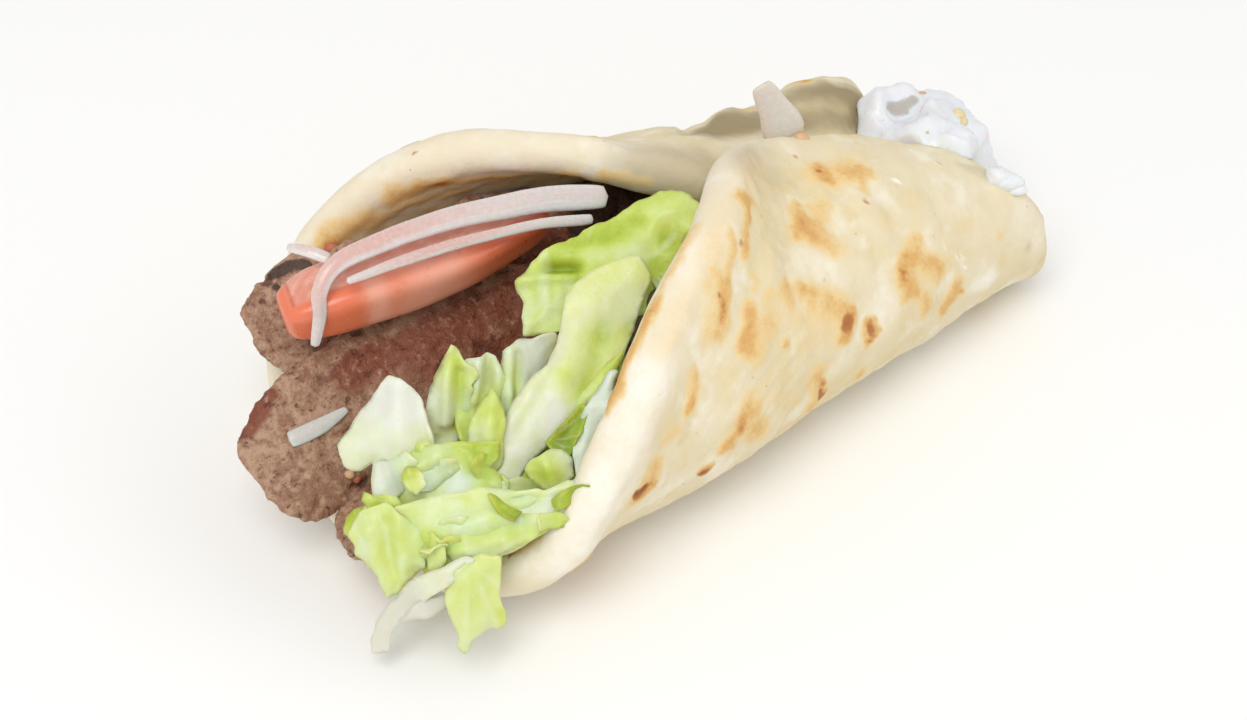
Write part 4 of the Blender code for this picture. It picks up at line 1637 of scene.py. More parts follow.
@dataclass(frozen=True)
class OnionStrip:
    """One strip cut from an onion; a blush above 0 makes it pink, below 0 greyer as painted shade."""

    node: str
    line: tuple[Point, ...]
    widths: Numbers
    heights: Numbers
    face: Point
    blush: float = 1.0
    steps: int = 120

    def build(self, cutter: OnionCutter, material: Material) -> None:
        """Makes and dresses the strip.

        Args:
            cutter: the tree that sweeps it.
            material: its finish.
        """
        t = np.linspace(0.0, 1.0, self.steps)
        rounding = superellipse(2 * t - 1, 7.0) * 0.97 + 0.03
        points = through(self.line, t)
        mesh = bpy.data.meshes.new("line")
        mesh.from_pydata((points * MM).tolist(), [(i, i + 1) for i in range(self.steps - 1)], [])
        write_marks(mesh, {"radius": through(self.widths, t) / 2 * MM * rounding, "along": t,
                           "blush": np.full(self.steps, max(self.blush, 0.0)),
                           "dull": np.full(self.steps, max(-self.blush, 0.0))})
        across = Sweep(self.line, self.widths, self.heights, self.face).frame_on(t)[1].astype(np.float32)
        mesh.attributes.new("sideways", "FLOAT_VECTOR", "POINT").data.foreach_set("vector", across.ravel())
        line = new_object("line", mesh)
        flatness = self.heights[len(self.heights) // 2] / self.widths[len(self.widths) // 2]
        piece = cutter.run(line, self.node + "_cut", {"Flatness": flatness, "Finish": material})
        bpy.data.objects.remove(line)
        dress(piece, None, "onion_white", self.node)


@dataclass
class Onion:
    """The strips and pieces of onion."""

    finish: OnionFinish = OnionFinish()
    strips: tuple[OnionStrip, ...] = (
        OnionStrip("onion_strip_long",
                   ((-74, 20, 38.5), (-71.5, 21, 44), (-70, 22.3, 48.6), (-65, 23.4, 51.6), (-54, 22.4, 52),
                    (-42, 20.8, 51), (-31, 18.8, 49), (-21, 16.5, 47), (-11, 11.5, 45.5)),
                   (2.2, 3.0, 4.0, 4.8, 5.6), (1.8, 2.0, 2.2, 2.4, 2.6), (-0.1, -0.6, 0.8)),
        OnionStrip("onion_strip_thin",
                   ((-66, 19.5, 50.4), (-54, 17.6, 50.2), (-41, 15.4, 48.9), (-28, 12.5, 47.2), (-17, 8.6, 45.2)),
                   (1.6, 2.2, 2.0, 2.4), (1.4, 1.6, 1.6, 1.8), (-0.1, -0.6, 0.8)),
        OnionStrip("onion_strip_short", ((-69, 34, 50.6), (-66.6, 30.2, 50.6), (-64.6, 27, 49.8)),
                   (1.6, 2.4, 2.4), (1.4, 1.8, 1.6), (-0.1, -0.4, 0.9), 0.3, 60),
        OnionStrip("onion_sliver", ((-85.5, 13.6, 26.6), (-79, 12.6, 26.9), (-73, 12.6, 27.4)),
                   (3.4, 3.0, 1.4), (1.4, 1.6, 1.2), (0, -0.6, 0.8), -0.3, 60),
        OnionStrip("onion_piece_top", ((27, 2.5, 45.6), (26.5, 5, 50), (25, 8.5, 56)),
                   (8.6, 8.4, 6.2, 4.4), (2.6, 2.4, 2.2, 1.8), (-0.45, -0.6, 0.6), -1.0, 60),
    )

    def build(self) -> None:
        """Makes all strips with one finish."""
        cutter, material = OnionCutter(), self.finish.material()
        for strip in self.strips:
            strip.build(cutter, material)


# ---- sauce
@dataclass(frozen=True)
class SauceFinish:
    """Thick yoghurt sauce with grated cucumber: white and moist, with painted shade, faintly lilac in its hollows
    and warm greyish in its cavities.
    """

    white: Colour = paint(231, 234, 238)
    # Painted shade: cool lilac for the hollows between folds, warm greyish for the cavities.
    cool: Colour = paint(214, 215, 224)
    warm: Colour = paint(184, 176, 164)
    herb: Colour = paint(176, 196, 128)

    def material(self) -> Material:
        """Builds the finish.

        Returns:
            The material.
        """
        p = Paint("yoghurt_sauce")
        broad, mid, fine = p.cloud(11.0, 2.0, seed=1), p.cloud(2.4, 3.0, 0.6, seed=2), p.cloud(0.7, 2.0, seed=3)
        # The hollow mark is painted shade in the hollows between folds and in the cavities.
        hollow = p.mark("hollow")
        shreds = p.cloud(1.4, 2.0, seed=6, stretch=(0.4, 1.0, 1.0)).between(0.68, 0.74)
        base = p.coats(self.white,
                       (self.cool, (hollow * 0.7 + mid.sway(0.7)).between(0.15, 0.9)),
                       (self.warm, (broad * 0.4 + hollow * 0.8).between(0.62, 1.0) * 0.9),
                       (self.herb, shreds * 0.3))
        normal = p.bump(mid * 0.6 + fine * 0.5, 0.3, 0.55)
        return p.lay(base, 0.34 + mid.sway(0.25), normal, Subsurface_Weight=0.3, Subsurface_Scale=0.006,
                     Coat_Weight=0.12, Coat_Roughness=0.3)


@dataclass
class Sauce:
    """The mound of sauce at the narrow end and the smear inside the near flap."""

    finish: SauceFinish = SauceFinish()
    face_size: float = 0.7
    dents: Marks = traces((2.8, 2.1, 892, 112, 913, 107), (2, -3.2, 880, 103, 906, 97),
        (1.8, -1.4, 932, 100, 926, 120), (1.5, -1, 872, 112, 872, 124), (2.6, 1.9, 960, 100, 976, 112),
        (1.5, -0.9, 948, 140, 975, 150), (2.2, -2.4, 984, 158, 1006, 182), (1.2, 1.1, 946, 128, 962, 132))
    # Painted shadow in the cavities between the folds.
    cavity_shadows: Marks = traces((1.7, 1, 890, 108, 902, 106, 912, 100), (1.2, 0.9, 894, 114, 906, 112),
        (0.9, 0.5, 940, 124, 948, 128), (0.7, 0.5, 972, 136, 990, 156))

    def build(self) -> None:
        """Makes and dresses the mound, with its folds where the photograph has them."""
        piece = even_copy("yoghurt_sauce", "yoghurt_sauce_mound", self.face_size, 8)
        points, normals = points_of(piece), normals_of(piece)
        warp = 3.0 * np.stack([soft_grain(points, 8.0, s) for s in (3, 4, 5)], 1)
        fold = 1.0 - np.abs(soft_grain(points + warp, 10.0, 6))
        small = 1.0 - np.abs(soft_grain(points + warp * 0.6, 5.0, 7))
        height = 3.0 * (fold - 0.7) + 0.8 * (small - 0.6) + 0.16 * soft_grain(points, 2.0, 8)
        shift = -Target(piece).pull(points, self.dents, 0.4)
        lifted = points + normals * height[:, None] + shift[:, None] * (UP * 0.7 + BACK * 0.5)
        reshape(piece, lifted)
        # Painted shade: the cavities, and the hollows between folds.
        cavity_shade = Target(piece).spots(lifted + warp * 0.2, self.cavity_shadows, 0.4, 1.4)
        reshape(piece, lifted, {"hollow": np.maximum(0.35 * ease(0.72, 0.35, fold), cavity_shade)})
        dress(piece, self.finish.material(), "yoghurt_sauce", "yoghurt_sauce")


# ---- lettuce
class Tone(float, Enum):
    """How green a piece of iceberg lettuce is, from its white heart to its outer edge."""

    PALE = 0.22
    FRESH = 0.56
    BRIGHT = 0.76
    DEEP = 0.97


@dataclass(frozen=True)
class LettuceFinish:
    """Crisp lettuce: translucent, pale at the ribs, yellow-green between them."""

    heart: Colour = paint(231, 231, 219)
    pale: Colour = paint(222, 227, 184)
    soft: Colour = paint(215, 223, 146)
    fresh: Colour = paint(205, 216, 112)
    bright: Colour = paint(180, 198, 74)
    deep: Colour = paint(134, 160, 40)
    rib: Colour = paint(232, 234, 206)
    # Painted shade: a greyish colour for the leaves' shaded places.
    grey: Colour = paint(200, 200, 188)
    shade: Colour = paint(70, 56, 34)

    def material(self) -> Material:
        """Builds the finish from each leaf's tone and veins, with painted shade on greyish places and painted shadow
        in dark gaps.

        Returns:
            The material.
        """
        p = Paint("lettuce")
        broad, mid, fine = p.cloud(9.0, 2.0, seed=1), p.cloud(3.0, 3.0, 0.6, seed=2), p.cloud(0.9, 2.0, seed=3)
        tone = p.mark("tone") + p.mark("shift") + broad.sway(0.3) + mid.sway(0.34) + fine.sway(0.08)
        stops = [(0.0, self.heart), (0.22, self.pale), (0.4, self.soft), (0.58, self.fresh),
                 (0.78, self.bright), (1.0, self.deep)]
        base = p.coats(p.ramp(tone, stops),
                       (self.rib, (p.mark("vein") + mid.sway(0.4)).between(0.3, 1.2) * 0.3),
                       # Painted shade.
                       (self.grey, p.mark("grey") * 0.8),
                       # Painted shadow in the dark gaps.
                       (self.shade, p.mark("dark") * 0.92))
        return p.lay(base, 0.38 + mid.sway(0.24), p.bump(mid * 0.6 + fine * 0.5, 0.24, 0.7),
                     Subsurface_Weight=0.3, Subsurface_Scale=0.003, Specular_IOR_Level=0.35)


@dataclass(frozen=True)
class Leaf:
    """One torn piece of lettuce: a thin curved sheet, cut to the outline that the photograph shows.

    The outline is cast on a plane through the anchor, which lies on the heap.
    """

    outline: tuple[Pixel, ...]
    anchor: Pixel
    lift: float
    face: Point
    tone: float
    tip_tone: float | None = None
    root: Pixel | None = None
    bulge: float = 1.5
    curl: float = 0.6
    crinkle: float = 1.0
    thickness: float = 0.32
    veins: float = 7.0
    creases: Marks = ()
    tints: Marks = ()
    # Spots of painted shade on the leaf.
    shade_greys: Marks = ()
    droop: float = 0.0
    spacing: float = 0.55

    def flat(self, heap: Target) -> tuple[Array, Array, Array, Callable[[Pixel], Array]]:
        """The plane that the leaf is cut in.

        Args:
            heap: what the leaf lies on.

        Returns:
            The origin, the two directions of the plane as rows, its normal, and a function that
            turns a pixel into the plane's two coordinates in mm.
        """
        spot = heap.cast(self.anchor)
        if spot is None:
            raise ValueError(f"the anchor {self.anchor} misses the heap")
        origin = spot + BACK * self.lift
        normal = unit(np.array([self.face], float))[0]
        right = unit(np.cross([UP], [normal]))[0]
        axes = np.stack([right, np.cross(normal, right)])

        def place(pixel: Pixel) -> Array:
            """Where the pixel falls on the plane."""
            ray = VIEW.toward(pixel)
            return axes @ (EYE + ray * ((origin - EYE) @ normal / (ray @ normal)) - origin)

        return origin, axes, normal, place

    def cut(self, border: Array, seed: int) -> tuple[Array, Faces, Array]:
        """Fills an outline with small triangles.

        Args:
            border: corners of the outline in mm.
            seed: picks how its edge is torn.

        Returns:
            Points of the plane, triangles, and each point's depth behind the edge.
        """
        closed = np.concatenate([border[-1:], border, border[:2]])
        count = len(border)
        length = np.linalg.norm(np.diff(np.concatenate([border, border[:1]]), axis=0), axis=1).sum()
        steps = max(int(length / self.spacing), 24)
        t = np.linspace(0.0, count, steps, endpoint=False)
        i = t.astype(int)
        f = (t - i)[:, None]
        p0, p1, p2, p3 = closed[i], closed[i + 1], closed[i + 2], closed[(i + 3) % len(closed)]
        p3 = np.where((i == count - 1)[:, None], border[1], p3)
        edge = p1 + (p2 - p1) * (f * 0.65 + (3 * f ** 2 - 2 * f ** 3) * 0.35)
        edge = edge + 0.12 * f * (1 - f) * ((p2 - p0) * (1 - f) - (p3 - p1) * f)
        seen = np.concatenate([edge, np.full((steps, 1), seed * 5.0)], 1)
        inward = unit(np.concatenate([edge.mean(0) - edge, np.zeros((steps, 1))], 1))[:, :2]
        edge = edge + inward * (0.5 * soft_grain(seen, 3.4, 31) + 0.3 * soft_grain(seen, 1.4, 32))[:, None]
        low, high = edge.min(0), edge.max(0)
        grid = np.stack(np.meshgrid(np.arange(low[0], high[0], self.spacing),
                                    np.arange(low[1], high[1], self.spacing * 0.87), indexing="ij"), -1)
        grid[:, 1::2, 0] += self.spacing / 2
        grid = grid.reshape(-1, 2)
        depth = self.depth(grid, edge)
        keep = grid[depth > self.spacing * 0.7]
        points = [Vector(p) for p in np.concatenate([edge, keep])]
        ring = [(k, (k + 1) % steps) for k in range(steps)]
        spots, _, faces, _, _, _ = delaunay_2d_cdt(points, ring, [list(range(steps))], 1, 1e-5)
        flat = np.array([tuple(spot) for spot in spots])
        return flat, faces, np.maximum(self.depth(flat, edge), 0.0)

    @staticmethod
    def depth(points: Array, edge: Array) -> Array:
        """How deep points lie inside an outline.

        Args:
            points: rows of two coordinates.
            edge: the outline's corners.

        Returns:
            The distance to the outline, negative outside it.
        """
        closed = np.concatenate([edge, edge[:1]])
        distance = distance_to_path(points, closed)
        inside = np.zeros(len(points), bool)
        for a, b in zip(closed[:-1], closed[1:]):
            crosses = (a[1] > points[:, 1]) != (b[1] > points[:, 1])
            reach = (b[0] - a[0]) * (points[:, 1] - a[1]) / (b[1] - a[1] if b[1] != a[1] else 1e-12) + a[0]
            inside ^= crosses & (points[:, 0] < reach)
        return np.where(inside, distance, -distance)

    def build(self, heap: Target, index: int) -> Piece:
        """Makes the leaf.

        Args:
            heap: what it lies on.
            index: its number, for its name and unevenness.

        Returns:
            The piece, not dressed yet.
        """
        origin, axes, normal, place = self.flat(heap)
        flat, faces, depth = self.cut(np.array([place(pixel) for pixel in self.outline]), index)
        spot = np.concatenate([flat, np.full((len(flat), 1), index * 11.0)], 1)
        deepest = max(depth.max(), 1e-6)
        crown = 1.0 - (1.0 - np.minimum(depth / deepest, 1.0)) ** 2
        lift = self.bulge * 0.55 * (crown - 0.5)
        lift += self.curl * np.exp(-depth / 1.6) * soft_grain(spot, 4.2, 33) * 1.8
        ridged = 1.0 - 2.0 * np.abs(soft_grain(spot, 6.5, 34))
        small = 1.0 - 2.0 * np.abs(soft_grain(spot * (1.0, 0.6, 1.0), 3.0, 39))
        lift += self.crinkle * (0.5 * ridged + 0.5 * soft_grain(spot, 9.0, 35) + 0.24 * small)
        for crease in self.creases:
            line = np.array([place(pixel) for pixel in crease.pixels])
            lift += crease.strength * np.exp(-(distance_to_path(flat, line) / crease.radius) ** 2)
        away = flat - place(self.root or self.outline[0])
        reach = np.linalg.norm(away, axis=1)
        share = reach / max(reach.max(), 1e-6)
        turn = np.arctan2(away[:, 1], away[:, 0]) * self.veins / np.pi + 0.35 * soft_grain(spot, 8.0, 37)
        vein = ease(0.2, 0.03, np.abs(np.mod(turn, 1.0) - 0.5) * share * 1.6)
        vein = vein * ease(0.0, 3.0, reach) * ease(0.1, 0.5, soft_grain(spot, 5.0, 38) + 0.45)
        lift += 0.06 * vein
        tip = self.tone if self.tip_tone is None else self.tip_tone
        tone = self.tone + (tip - self.tone) * ease(0.1, 0.95, share)
        tone = tone - 0.05 * np.exp(-depth / 0.7) - self.crinkle * (0.07 * ridged + 0.05 * small)
        tone += self.tinted(flat, self.tints, place)
        # Painted shade from the leaf's shade spots.
        grey = np.clip(self.tinted(flat, self.shade_greys, place), 0.0, 1.0)
        points = origin + flat @ axes + lift[:, None] * normal
        points += unit(points - EYE) * (self.droop * ease(0.15, 1.0, share))[:, None]
        piece = make_piece(f"lettuce_leaf_{index:02d}", points, faces,
                           {"tone": np.clip(tone, 0.0, 1.0), "vein": vein, "grey": grey})
        return thicken(piece, self.thickness)

    @staticmethod
    def tinted(flat: Array, marks: Sequence[Mark], place: Callable[[Pixel], Array]) -> Array:
        """Adds up soft spots on the leaf.

        Args:
            flat: points in its plane.
            marks: the spots.
            place: turns a pixel into the plane's coordinates.

        Returns:
            One number a point.
        """
        total = np.zeros(len(flat))
        for mark in marks:
            path = np.array([place(pixel) for pixel in mark.pixels])
            total += mark.strength * ease(1.5, 0.2, distance_to_path(flat, path) / mark.radius)
        return total


def thicken(piece: Piece, thickness: float) -> Piece:
    """Gives an open sheet two faces and a rim.

    Args:
        piece: the sheet.
        thickness: in mm.

    Returns:
        The same piece.
    """
    solid = piece.modifiers.new("thickness", "SOLIDIFY")
    solid.thickness = thickness * MM
    solid.offset = 0.0
    return settle(piece)


FACING = (-0.45, -0.54, 0.71)
LEFTWARD = (-0.8, -0.3, 0.55)
TOP_LEAF = Leaf(
    pixels(517, 281, 530, 263, 546, 251, 562, 240, 582, 233, 602, 221, 626, 209, 645, 198, 660, 190, 672, 189,
           686, 192, 697, 200, 704, 207, 694, 226, 682, 246, 668, 275, 650, 312, 628, 322, 600, 318, 565, 330,
           545, 334, 523, 336, 520, 318, 522, 300),
    (600, 268), 0.6, (-0.3, -0.4, 0.85), Tone.FRESH, 0.66, root=(540, 330), bulge=2.0, crinkle=0.7,
    creases=traces((1, 1.3, 517, 281, 574, 277), (1.5, -2.2, 550, 268, 574, 268), (2, 0.7, 640, 205, 690, 200),
        (2.5, -1, 655, 250, 660, 300)),
    # The first tint deepens the green of the inner fold under the crease as painted shade.
    tints=traces((2.6, 0.42, 552, 266, 570, 266), (2.4, 0.2, 560, 244, 600, 236, 640, 228),
        (1.6, -0.12, 560, 253, 600, 256), (3, 0.16, 655, 270, 668, 245), (4, -0.14, 530, 300, 550, 315),
        (3, -0.14, 660, 215, 690, 205), (3, -0.2, 640, 240, 625, 255)))
BROAD_RIB = Leaf(
    pixels(640, 255, 650, 278, 641, 304, 632, 330, 623, 352, 616, 372, 601, 390, 586, 401, 574, 413, 561, 428,
           550, 440, 535, 455, 522, 471, 515, 484, 500, 488, 490, 480, 488, 466, 497, 445, 505, 424, 516, 400,
           530, 381, 545, 365, 557, 346, 562, 320, 566, 298, 577, 282, 600, 268, 624, 257),
    (585, 330), 2.6, (-0.3, -0.55, 0.75), 0.14, 0.42, root=(503, 484), bulge=1.8, curl=0.4, crinkle=0.45,
    thickness=1.3, veins=5.0,
    creases=traces((1.2, 0.7, 545, 366, 500, 440), (3, -1.1, 600, 330, 585, 385)),
    tints=traces((4, 0.44, 605, 335, 592, 365, 575, 380), (3, -0.1, 560, 395, 545, 425),
        (3, 0.06, 520, 420, 535, 440), (4, -0.04, 590, 300, 620, 280)),
    shade_greys=traces((2, 0.5, 560, 330, 552, 360), (4, 0.35, 615, 310, 630, 300)))
RIB_FOLD = Leaf(
    pixels(624, 350, 616, 374, 601, 398, 586, 412, 572, 424, 556, 444, 545, 446, 560, 420, 575, 400, 590, 384,
           606, 364),
    (592, 392), 0.8, FACING, Tone.PALE, Tone.BRIGHT, root=(550, 444), bulge=1.0, crinkle=0.4)
DEEP_HOLLOW = Leaf(
    pixels(545, 442, 560, 424, 580, 404, 590, 408, 582, 432, 570, 456, 556, 456),
    (566, 432), -1.5, FACING, Tone.DEEP, 0.9, bulge=-1.5, crinkle=0.4)
FOLDED_PIECE = Leaf(
    pixels(541, 454, 552, 447, 563, 450, 574, 459, 574, 476, 560, 486, 544, 489, 530, 480, 526, 470, 531, 461),
    (550, 468), 1.4, (-0.35, -0.7, 0.6), 0.66, Tone.PALE, root=(540, 472), bulge=1.4, crinkle=0.9,
    creases=traces((1.3, 0.9, 541, 456, 553, 484)),
    tints=traces((1.8, 0.16, 547, 474, 556, 478)))
PEAK_LEFT = Leaf(
    pixels(424, 432, 427, 404, 432, 381, 441, 364, 447, 351, 452, 341, 456, 345, 461, 355, 467, 363, 475, 368,
           478, 376, 471, 384, 474, 410, 466, 436, 448, 446, 432, 446),
    (448, 404), 1.8, (-0.55, -0.65, 0.5), 0.3, 0.5, root=(446, 446), bulge=1.6, curl=1.3, crinkle=0.8,
    creases=traces((1.2, 1.8, 448, 350, 446, 420), (1, -1.4, 460, 372, 456, 425), (0.9, 0.9, 436, 380, 434, 430)),
    tints=traces((1.2, 0.22, 456, 360, 458, 400), (1.2, -0.1, 430, 400, 434, 380), (0.7, 0.5, 454, 426, 458, 430)))
PEAK_MIDDLE = Leaf(
    pixels(464, 364, 475, 357, 490, 353, 497, 356, 502, 366, 507, 384, 504, 405, 500, 436, 478, 448, 458, 440,
           456, 405, 463, 386, 475, 378),
    (482, 402), 2.4, (-0.3, -0.75, 0.55), 0.22, 0.5, root=(478, 356), bulge=1.5, curl=1.2, crinkle=0.8,
    creases=traces((1, -1.8, 489, 356, 486, 395), (1.1, 1.2, 478, 362, 474, 400), (1, 1.1, 498, 368, 497, 410)),
    tints=traces((1, 0.26, 490, 362, 488, 384), (3, 0.18, 470, 400, 466, 425), (3, 0.2, 486, 425, 478, 442)),
    shade_greys=traces((1.4, 0.5, 490, 362, 489, 380)))
PEAK_RIGHT = Leaf(
    pixels(501, 366, 503, 352, 511, 345, 521, 340, 536, 335, 556, 331, 560, 342, 551, 360, 538, 378, 530, 394,
           522, 410, 512, 430, 503, 436, 499, 410, 503, 386),
    (518, 378), 1.2, (-0.25, -0.65, 0.65), 0.26, 0.3, root=(506, 430), bulge=1.4, curl=0.9, crinkle=0.6,
    creases=traces((1.1, 1.1, 508, 350, 508, 410), (0.8, -1, 518, 355, 516, 400)),
    tints=traces((1, 0.24, 518, 362, 514, 400)),
    shade_greys=traces((2.6, 1, 528, 348, 530, 372), (2.2, 0.8, 545, 340, 540, 356)))
PALE_OVAL = Leaf(
    pixels(337, 446, 346, 432, 361, 414, 373, 398, 383, 382, 389, 377, 400, 379, 412, 386, 419, 397, 426, 410,
           429, 428, 434, 446, 428, 464, 414, 478, 394, 492, 374, 494, 371, 480, 372, 464, 360, 471, 346, 466,
           340, 456),
    (385, 432), 2.2, (-0.55, -0.5, 0.65), 0.02, 0.24, root=(388, 378), bulge=3.2, curl=0.7, crinkle=0.45,
    thickness=0.8, veins=6.0,
    creases=traces((2.2, 0.9, 400, 384, 402, 470), (1.6, -0.9, 416, 392, 424, 440), (1.4, 0.7, 345, 440, 380, 400)),
    tints=traces((3, 0.07, 372, 430), (3.4, 0.16, 400, 470, 380, 485), (2.4, 0.14, 425, 440, 424, 455)),
    shade_greys=traces((2.2, 0.3, 372, 418, 392, 394), (2, 0.35, 400, 448)))
HEAP_LEFT = Leaf(
    pixels(371, 496, 384, 474, 408, 452, 430, 445, 468, 442, 500, 440, 500, 456, 490, 470, 494, 490, 482, 514,
           450, 526, 418, 526, 392, 512),
    (440, 478), 0.7, (-0.5, -0.6, 0.65), 0.44, 0.54, root=(420, 520), bulge=2.6, curl=0.8,
    creases=traces((1.6, 1.2, 400, 474, 440, 454), (1.8, -1, 450, 446, 480, 470), (2, 0.9, 430, 500, 476, 498),
        (1.2, -0.8, 395, 500, 410, 468)),
    tints=traces((2.6, -0.36, 452, 480, 460, 484), (2, -0.08, 425, 446, 432, 460), (1.8, 0.2, 410, 468),
        (3.2, 0.24, 470, 446, 490, 450), (1, -0.2, 405, 478, 412, 482)))
UNDER_OVAL = Leaf(
    pixels(372, 480, 373, 464, 388, 457, 405, 452, 417, 461, 415, 478, 404, 493, 390, 502, 377, 497),
    (392, 478), 1.2, (-0.55, -0.55, 0.6), 0.26, 0.14, root=(410, 458), bulge=1.8, curl=1.0,
    creases=traces((1.3, -0.9, 384, 462, 400, 496)),
    shade_greys=traces((2.6, 0.45, 384, 470, 396, 480)))
BRIGHT_SCRAP = Leaf(
    pixels(411, 451, 418, 443, 428, 441, 436, 447, 434, 458, 440, 466, 428, 470, 419, 464, 412, 461),
    (424, 456), 3.0, (-0.6, -0.5, 0.6), 0.6, 0.42, root=(413, 452), bulge=1.6, curl=1.6, crinkle=1.1,
    creases=traces((1, 0.9, 418, 446, 430, 466)))
OLIVE_SCRAP = Leaf(
    pixels(400, 474, 407, 467, 418, 465, 426, 472, 428, 484, 419, 497, 409, 492, 404, 483),
    (415, 481), 2.6, (-0.5, -0.6, 0.6), 0.5, 0.44, root=(420, 495), bulge=1.6, curl=1.4,
    creases=traces((0.9, 0.9, 404, 472, 420, 470)),
    tints=traces((1.4, 0.34, 404, 473, 414, 468)))
MIDDLE_POINT = Leaf(
    pixels(491, 388, 499, 398, 505, 420, 504, 446, 499, 470, 490, 492, 474, 486, 466, 452, 470, 430, 478, 409),
    (486, 440), 3.2, (-0.35, -0.65, 0.6), 0.44, 0.62, root=(486, 490), bulge=1.8, curl=0.9, crinkle=0.8,
    creases=traces((1.6, 1, 490, 396, 486, 470), (1.2, -0.8, 476, 420, 480, 470)),
    tints=traces((3, -0.16, 474, 440, 482, 475), (1.6, 0.14, 496, 410, 498, 440)))
PALE_BAND = Leaf(
    pixels(462, 512, 480, 503, 505, 498, 532, 493, 556, 488, 580, 478, 577, 491, 560, 502, 534, 510, 504, 519,
           478, 525),
    (520, 504), 3.0, (-0.4, -0.6, 0.7), 0.16, 0.34, root=(578, 484), bulge=1.6, curl=0.9, crinkle=0.8,
    creases=traces((1.3, 0.9, 480, 512, 560, 494)),
    tints=traces((1.4, 0.18, 500, 505, 540, 498)))
LOWER_MASS = Leaf(
    pixels(438, 522, 458, 514, 484, 519, 514, 516, 540, 513, 552, 520, 532, 538, 506, 552, 484, 566, 458, 568,
           442, 556, 434, 540),
    (486, 538), 3.2, (-0.45, -0.65, 0.6), 0.4, 0.5, root=(440, 560), bulge=2.4, curl=1.2,
    creases=traces((1.4, -1, 450, 530, 520, 524), (1.5, 1, 456, 552, 510, 540)),
    tints=traces((2.6, 0.16, 450, 540, 470, 530), (1.6, -0.2, 520, 524, 536, 520)))
PALE_EDGE = Leaf(
    pixels(574, 430, 584, 410, 598, 388, 610, 372, 618, 372, 614, 392, 607, 416, 597, 444, 586, 470, 577, 480,
           573, 454),
    (592, 430), 1.0, (-0.45, -0.6, 0.65), 0.04, 0.12, root=(580, 470), bulge=1.6, curl=1.2,
    shade_greys=traces((1, 0.25, 590, 440, 606, 400)))
LEFT_TUFT = Leaf(
    pixels(358, 500, 362, 492, 374, 495, 386, 492, 398, 496, 402, 506, 392, 512, 380, 508, 368, 512),
    (382, 502), 3.4, (-0.6, -0.4, 0.65), 0.56, 0.7, root=(400, 505), bulge=1.2, curl=1.6, crinkle=1.1)
HEAP_RIGHT = Leaf(
    pixels(392, 508, 430, 497, 478, 488, 496, 489, 520, 489, 546, 490, 570, 480, 580, 488, 568, 506, 548, 528,
           520, 546, 502, 556, 500, 566, 470, 578, 442, 580, 422, 562, 404, 534),
    (480, 528), 1.4, (-0.45, -0.65, 0.6), 0.42, 0.44, root=(575, 484), bulge=2.6, crinkle=0.7,
    creases=traces((1.2, -0.9, 500, 502, 560, 498), (2.2, 1.3, 430, 540, 500, 512), (1.6, 0.9, 470, 556, 545, 518),
        (1.3, -0.8, 440, 560, 500, 545)),
    tints=traces((1.6, 0.2, 510, 502, 540, 496), (3, -0.24, 520, 512, 548, 505), (2.4, 0.22, 430, 538, 445, 560),
        (4, -0.06, 455, 520), (1, 0.4, 540, 530, 550, 522)))
LOWER_LEFT = Leaf(
    pixels(346, 536, 353, 522, 364, 512, 384, 506, 400, 512, 416, 524, 427, 540, 424, 566, 410, 580, 399, 592,
           386, 600, 381, 588, 378, 576, 365, 569, 355, 555, 351, 544),
    (388, 545), 2.2, (-0.6, -0.6, 0.5), 0.5, 0.42, root=(390, 590), bulge=2.4, curl=1.0, crinkle=0.8,
    creases=traces((1.5, 1.2, 368, 528, 384, 580), (1.5, 1, 400, 520, 404, 574), (1.3, -1, 386, 524, 394, 570)),
    tints=traces((1.8, -0.2, 358, 556, 366, 545), (2, 0.12, 395, 520, 400, 530)))
GREEN_FOLD = Leaf(
    pixels(424, 534, 432, 530, 444, 540, 446, 560, 438, 574, 424, 572, 421, 552),
    (434, 552), 2.6, LEFTWARD, 0.66, 0.44, root=(426, 536), bulge=1.0, crinkle=0.5,
    creases=traces((0.9, -1.2, 427, 536, 424, 566)))
DARK_FRINGE = Leaf(
    pixels(344, 534, 349, 520, 357, 508, 367, 500, 380, 496, 394, 499, 396, 507, 386, 513, 374, 517, 369, 530,
           356, 543),
    (368, 512), 2.8, (-0.7, -0.2, 0.6), 0.84, 0.94, root=(360, 525), bulge=1.2, curl=1.2,
    creases=traces((0.8, 1, 352, 528, 372, 508)),
    tints=traces((1, 0.1, 385, 498, 392, 504), (1.2, -0.35, 372, 503, 378, 500)))
HANGING_TAB = Leaf(
    pixels(446, 582, 456, 568, 480, 556, 501, 556, 500, 598, 505, 611, 507, 625, 503, 633, 489, 634, 472, 637,
           470, 648, 465, 653, 457, 648, 458, 634, 452, 618, 446, 604),
    (474, 584), 1.6, (-0.45, -0.8, 0.35), 0.46, 0.4, root=(470, 560), bulge=1.6, curl=0.9, crinkle=0.5,
    creases=traces((2, 0.9, 462, 580, 466, 636), (1.5, -0.7, 490, 575, 494, 628)),
    tints=traces((1.2, 0.14, 502, 612, 504, 628), (2.5, 0.06, 470, 574, 490, 568)))
HANGING_SHRED = Leaf(
    pixels(474, 560, 464, 574, 446, 587, 424, 600, 404, 616, 393, 632, 388, 652, 373, 652, 372, 640, 379, 621,
           390, 603, 405, 588, 424, 576, 446, 566, 462, 558),
    (446, 577), 2.8, (-0.35, -0.6, 0.65), 0.2, 0.08, root=(470, 562), bulge=0.8, curl=0.4, crinkle=0.45,
    thickness=0.8, veins=3.0, droop=14.0,
    shade_greys=traces((2.4, 0.6, 378, 645, 392, 612, 414, 592), (2.4, 0.3, 440, 574, 460, 566)))
